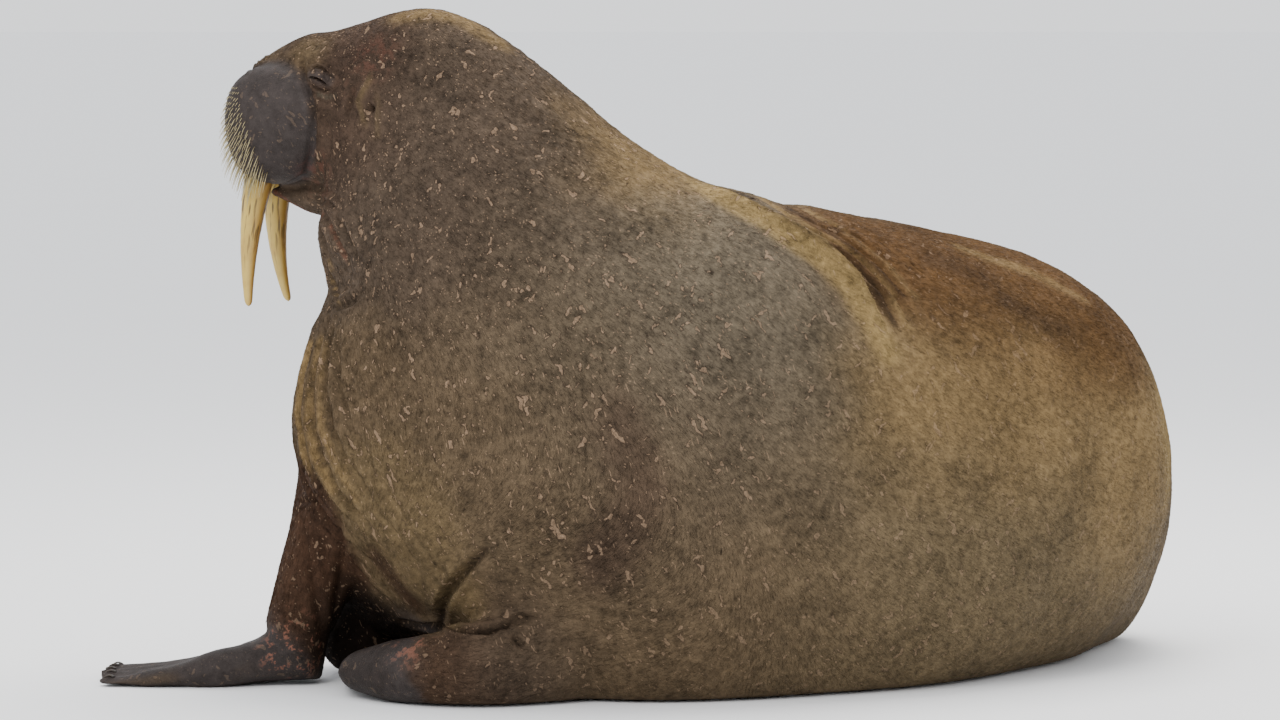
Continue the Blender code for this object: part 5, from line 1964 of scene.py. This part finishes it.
    def grow(
        self,
        name: str,
        roots: np.ndarray,
        facing: np.ndarray,
        unwrap: tuple,
        marks: Markings,
        material: bpy.types.Material,
        rng: np.random.Generator,
    ) -> bpy.types.Object:
        """Makes one coat piece of four-sided tufts.

        Args:
            name: the piece's name.
            roots: where each tuft stands on the skin.
            facing: the skin's facing there.
            unwrap: the unfolded copy of the skin.
            marks: the animal's markings.
            material: the hide's own material.
            rng: the source of the tufts' small differences.

        Returns:
            The piece.
        """
        count = len(roots)
        way = self.ways(roots) / 40.0
        way /= np.maximum(np.linalg.norm(way, axis=1), 1e-9)[:, None]
        way += rng.normal(0.0, 0.16, (count, 3))
        way -= facing * (way * facing).sum(1)[:, None]
        way /= np.linalg.norm(way, axis=1)[:, None]
        across = np.cross(facing, way)
        head = np.linalg.norm(roots - np.array(head_point(0.16, 0.0, 0.0)), axis=1)
        small = 0.42 + 0.58 * ease((head - 0.20) / 0.35)
        length = self.length * small * rng.uniform(0.6, 1.3, count)
        lift = rng.uniform(0.02, 0.12, count)
        width = self.half_width * (0.6 + 0.4 * small)
        base = roots - facing * 0.0010
        ring = [
            base + across * width[:, None],
            base - across * width[:, None],
            roots + facing * 0.0004,
            base + way * length[:, None] + facing * (length * lift + 0.0012)[:, None],
        ]
        ring[3][:, 2] = np.maximum(ring[3][:, 2], FLOOR_CLEARANCE)
        points = np.stack(ring, axis=1).reshape(-1, 3)
        pattern = np.array([(0, 2, 3), (1, 3, 2), (0, 3, 1), (0, 1, 2)])
        triangles = (pattern[None] + (np.arange(count) * 4)[:, None, None]).reshape(-1, 3)
        piece = add_mesh(name, points, triangles)
        lean = across * 0.35
        soft = np.stack([facing + lean, facing - lean, facing, facing], axis=1).reshape(-1, 3)
        soft /= np.linalg.norm(soft, axis=1)[:, None]
        piece.data.normals_split_custom_set_from_vertices(soft.tolist())
        spots = self.map_places(roots, unwrap)
        corners = np.array([(-0.5, -0.5), (0.5, -0.5), (0.0, 0.0), (0.0, 0.5)]) * self.patch
        uv = (spots[:, None] + corners[None]).reshape(-1, 2)
        layer = piece.data.uv_layers.new(name="OFBake")
        layer.data.foreach_set("uv", uv[triangles.ravel()].astype(np.float32).ravel())
        marks.dress(piece, roots, 4, rng.normal(1.0, 0.25, count).clip(0.45, 1.7))
        piece.data.materials.append(material)
        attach(piece, BODY)
        return piece


# The studio


@dataclass(frozen=True)
class Lamp:
    """One soft square light that looks at the animal."""

    name: str
    place: Place
    size: float
    watts: float
    colour: Colour = (1.0, 1.0, 1.0)

    def add(self) -> None:
        """Sets the light up."""
        light = bpy.data.lights.new(self.name, "AREA")
        light.size = self.size
        light.energy = self.watts
        light.color = self.colour
        holder = bpy.data.objects.new(self.name, light)
        holder.location = self.place
        aim = Vector((0.0, 0.0, 0.6)) - Vector(self.place)
        holder.rotation_euler = aim.to_track_quat("-Z", "Y").to_euler()
        bpy.context.scene.collection.objects.link(holder)


@dataclass
class Studio:
    """A plain pale floor under an even sky, with large soft lights."""

    floor_reach: float = 900.0
    sky: Colour = (0.93, 0.945, 0.97)
    sky_strength: float = 1.50
    lamps: tuple[Lamp, ...] = (
        Lamp("key", (-3.5, -6.5, 6.5), 4.0, 330.0, (1.0, 0.98, 0.95)),
        Lamp("top", (1.5, 1.5, 6.5), 4.0, 420.0, (1.0, 0.97, 0.92)),
    )

    def build(self, material: bpy.types.Material) -> None:
        """Adds the floor, the sky and the lights."""
        bpy.ops.mesh.primitive_circle_add(vertices=96, radius=self.floor_reach, fill_type="NGON")
        floor = bpy.context.object
        floor.name = "studio_floor"
        floor.data.materials.append(material)
        world = bpy.data.worlds.new("sky")
        world.use_nodes = True
        back = world.node_tree.nodes["Background"]
        back.inputs["Color"].default_value = (*self.sky, 1.0)
        back.inputs["Strength"].default_value = self.sky_strength
        bpy.context.scene.world = world
        for lamp in self.lamps:
            lamp.add()


def main() -> None:
    """Builds and dresses the animal, then the studio round it."""
    logging.basicConfig(level=logging.INFO, format="%(relativeCreated)6.0f ms  %(message)s")
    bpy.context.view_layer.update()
    bpy.ops.object.select_all(action="DESELECT")
    maker = Skin()
    skin = maker.build()
    probe = Probe(skin)
    marks = Markings(maker, probe)
    marks.dress(skin, read_points(skin))
    hide = HideFinish().make()
    skin.data.materials.append(hide)
    LOG.info("skin: %d triangles", len(skin.data.polygons))
    eye_finish = EyeFinish().make()
    ivory = IvoryFinish().make()
    for side in Side:
        LOG.info("%s", Eye(side).build(maker.eye_spot(side), eye_finish).name)
        LOG.info("%s", Tusk(side).build(ivory).name)
    bristles = Bristles().build(maker, probe, HornFinish("bristle_horn").make())
    LOG.info("bristles: %d triangles", len(bristles.data.polygons))
    claw_horn = HornFinish("claw_horn", paint(58, 48, 38), paint(34, 28, 24)).make()
    claws = Claws().build(probe, claw_horn)
    LOG.info("claws: %d triangles", len(claws.data.polygons))
    for piece in Coat().build(skin, marks, hide):
        LOG.info("%s: %d triangles", piece.name, len(piece.data.polygons))
    Studio().build(FloorFinish().make())
    PHOTO.add_camera()


if __name__ == "__main__":
    main()
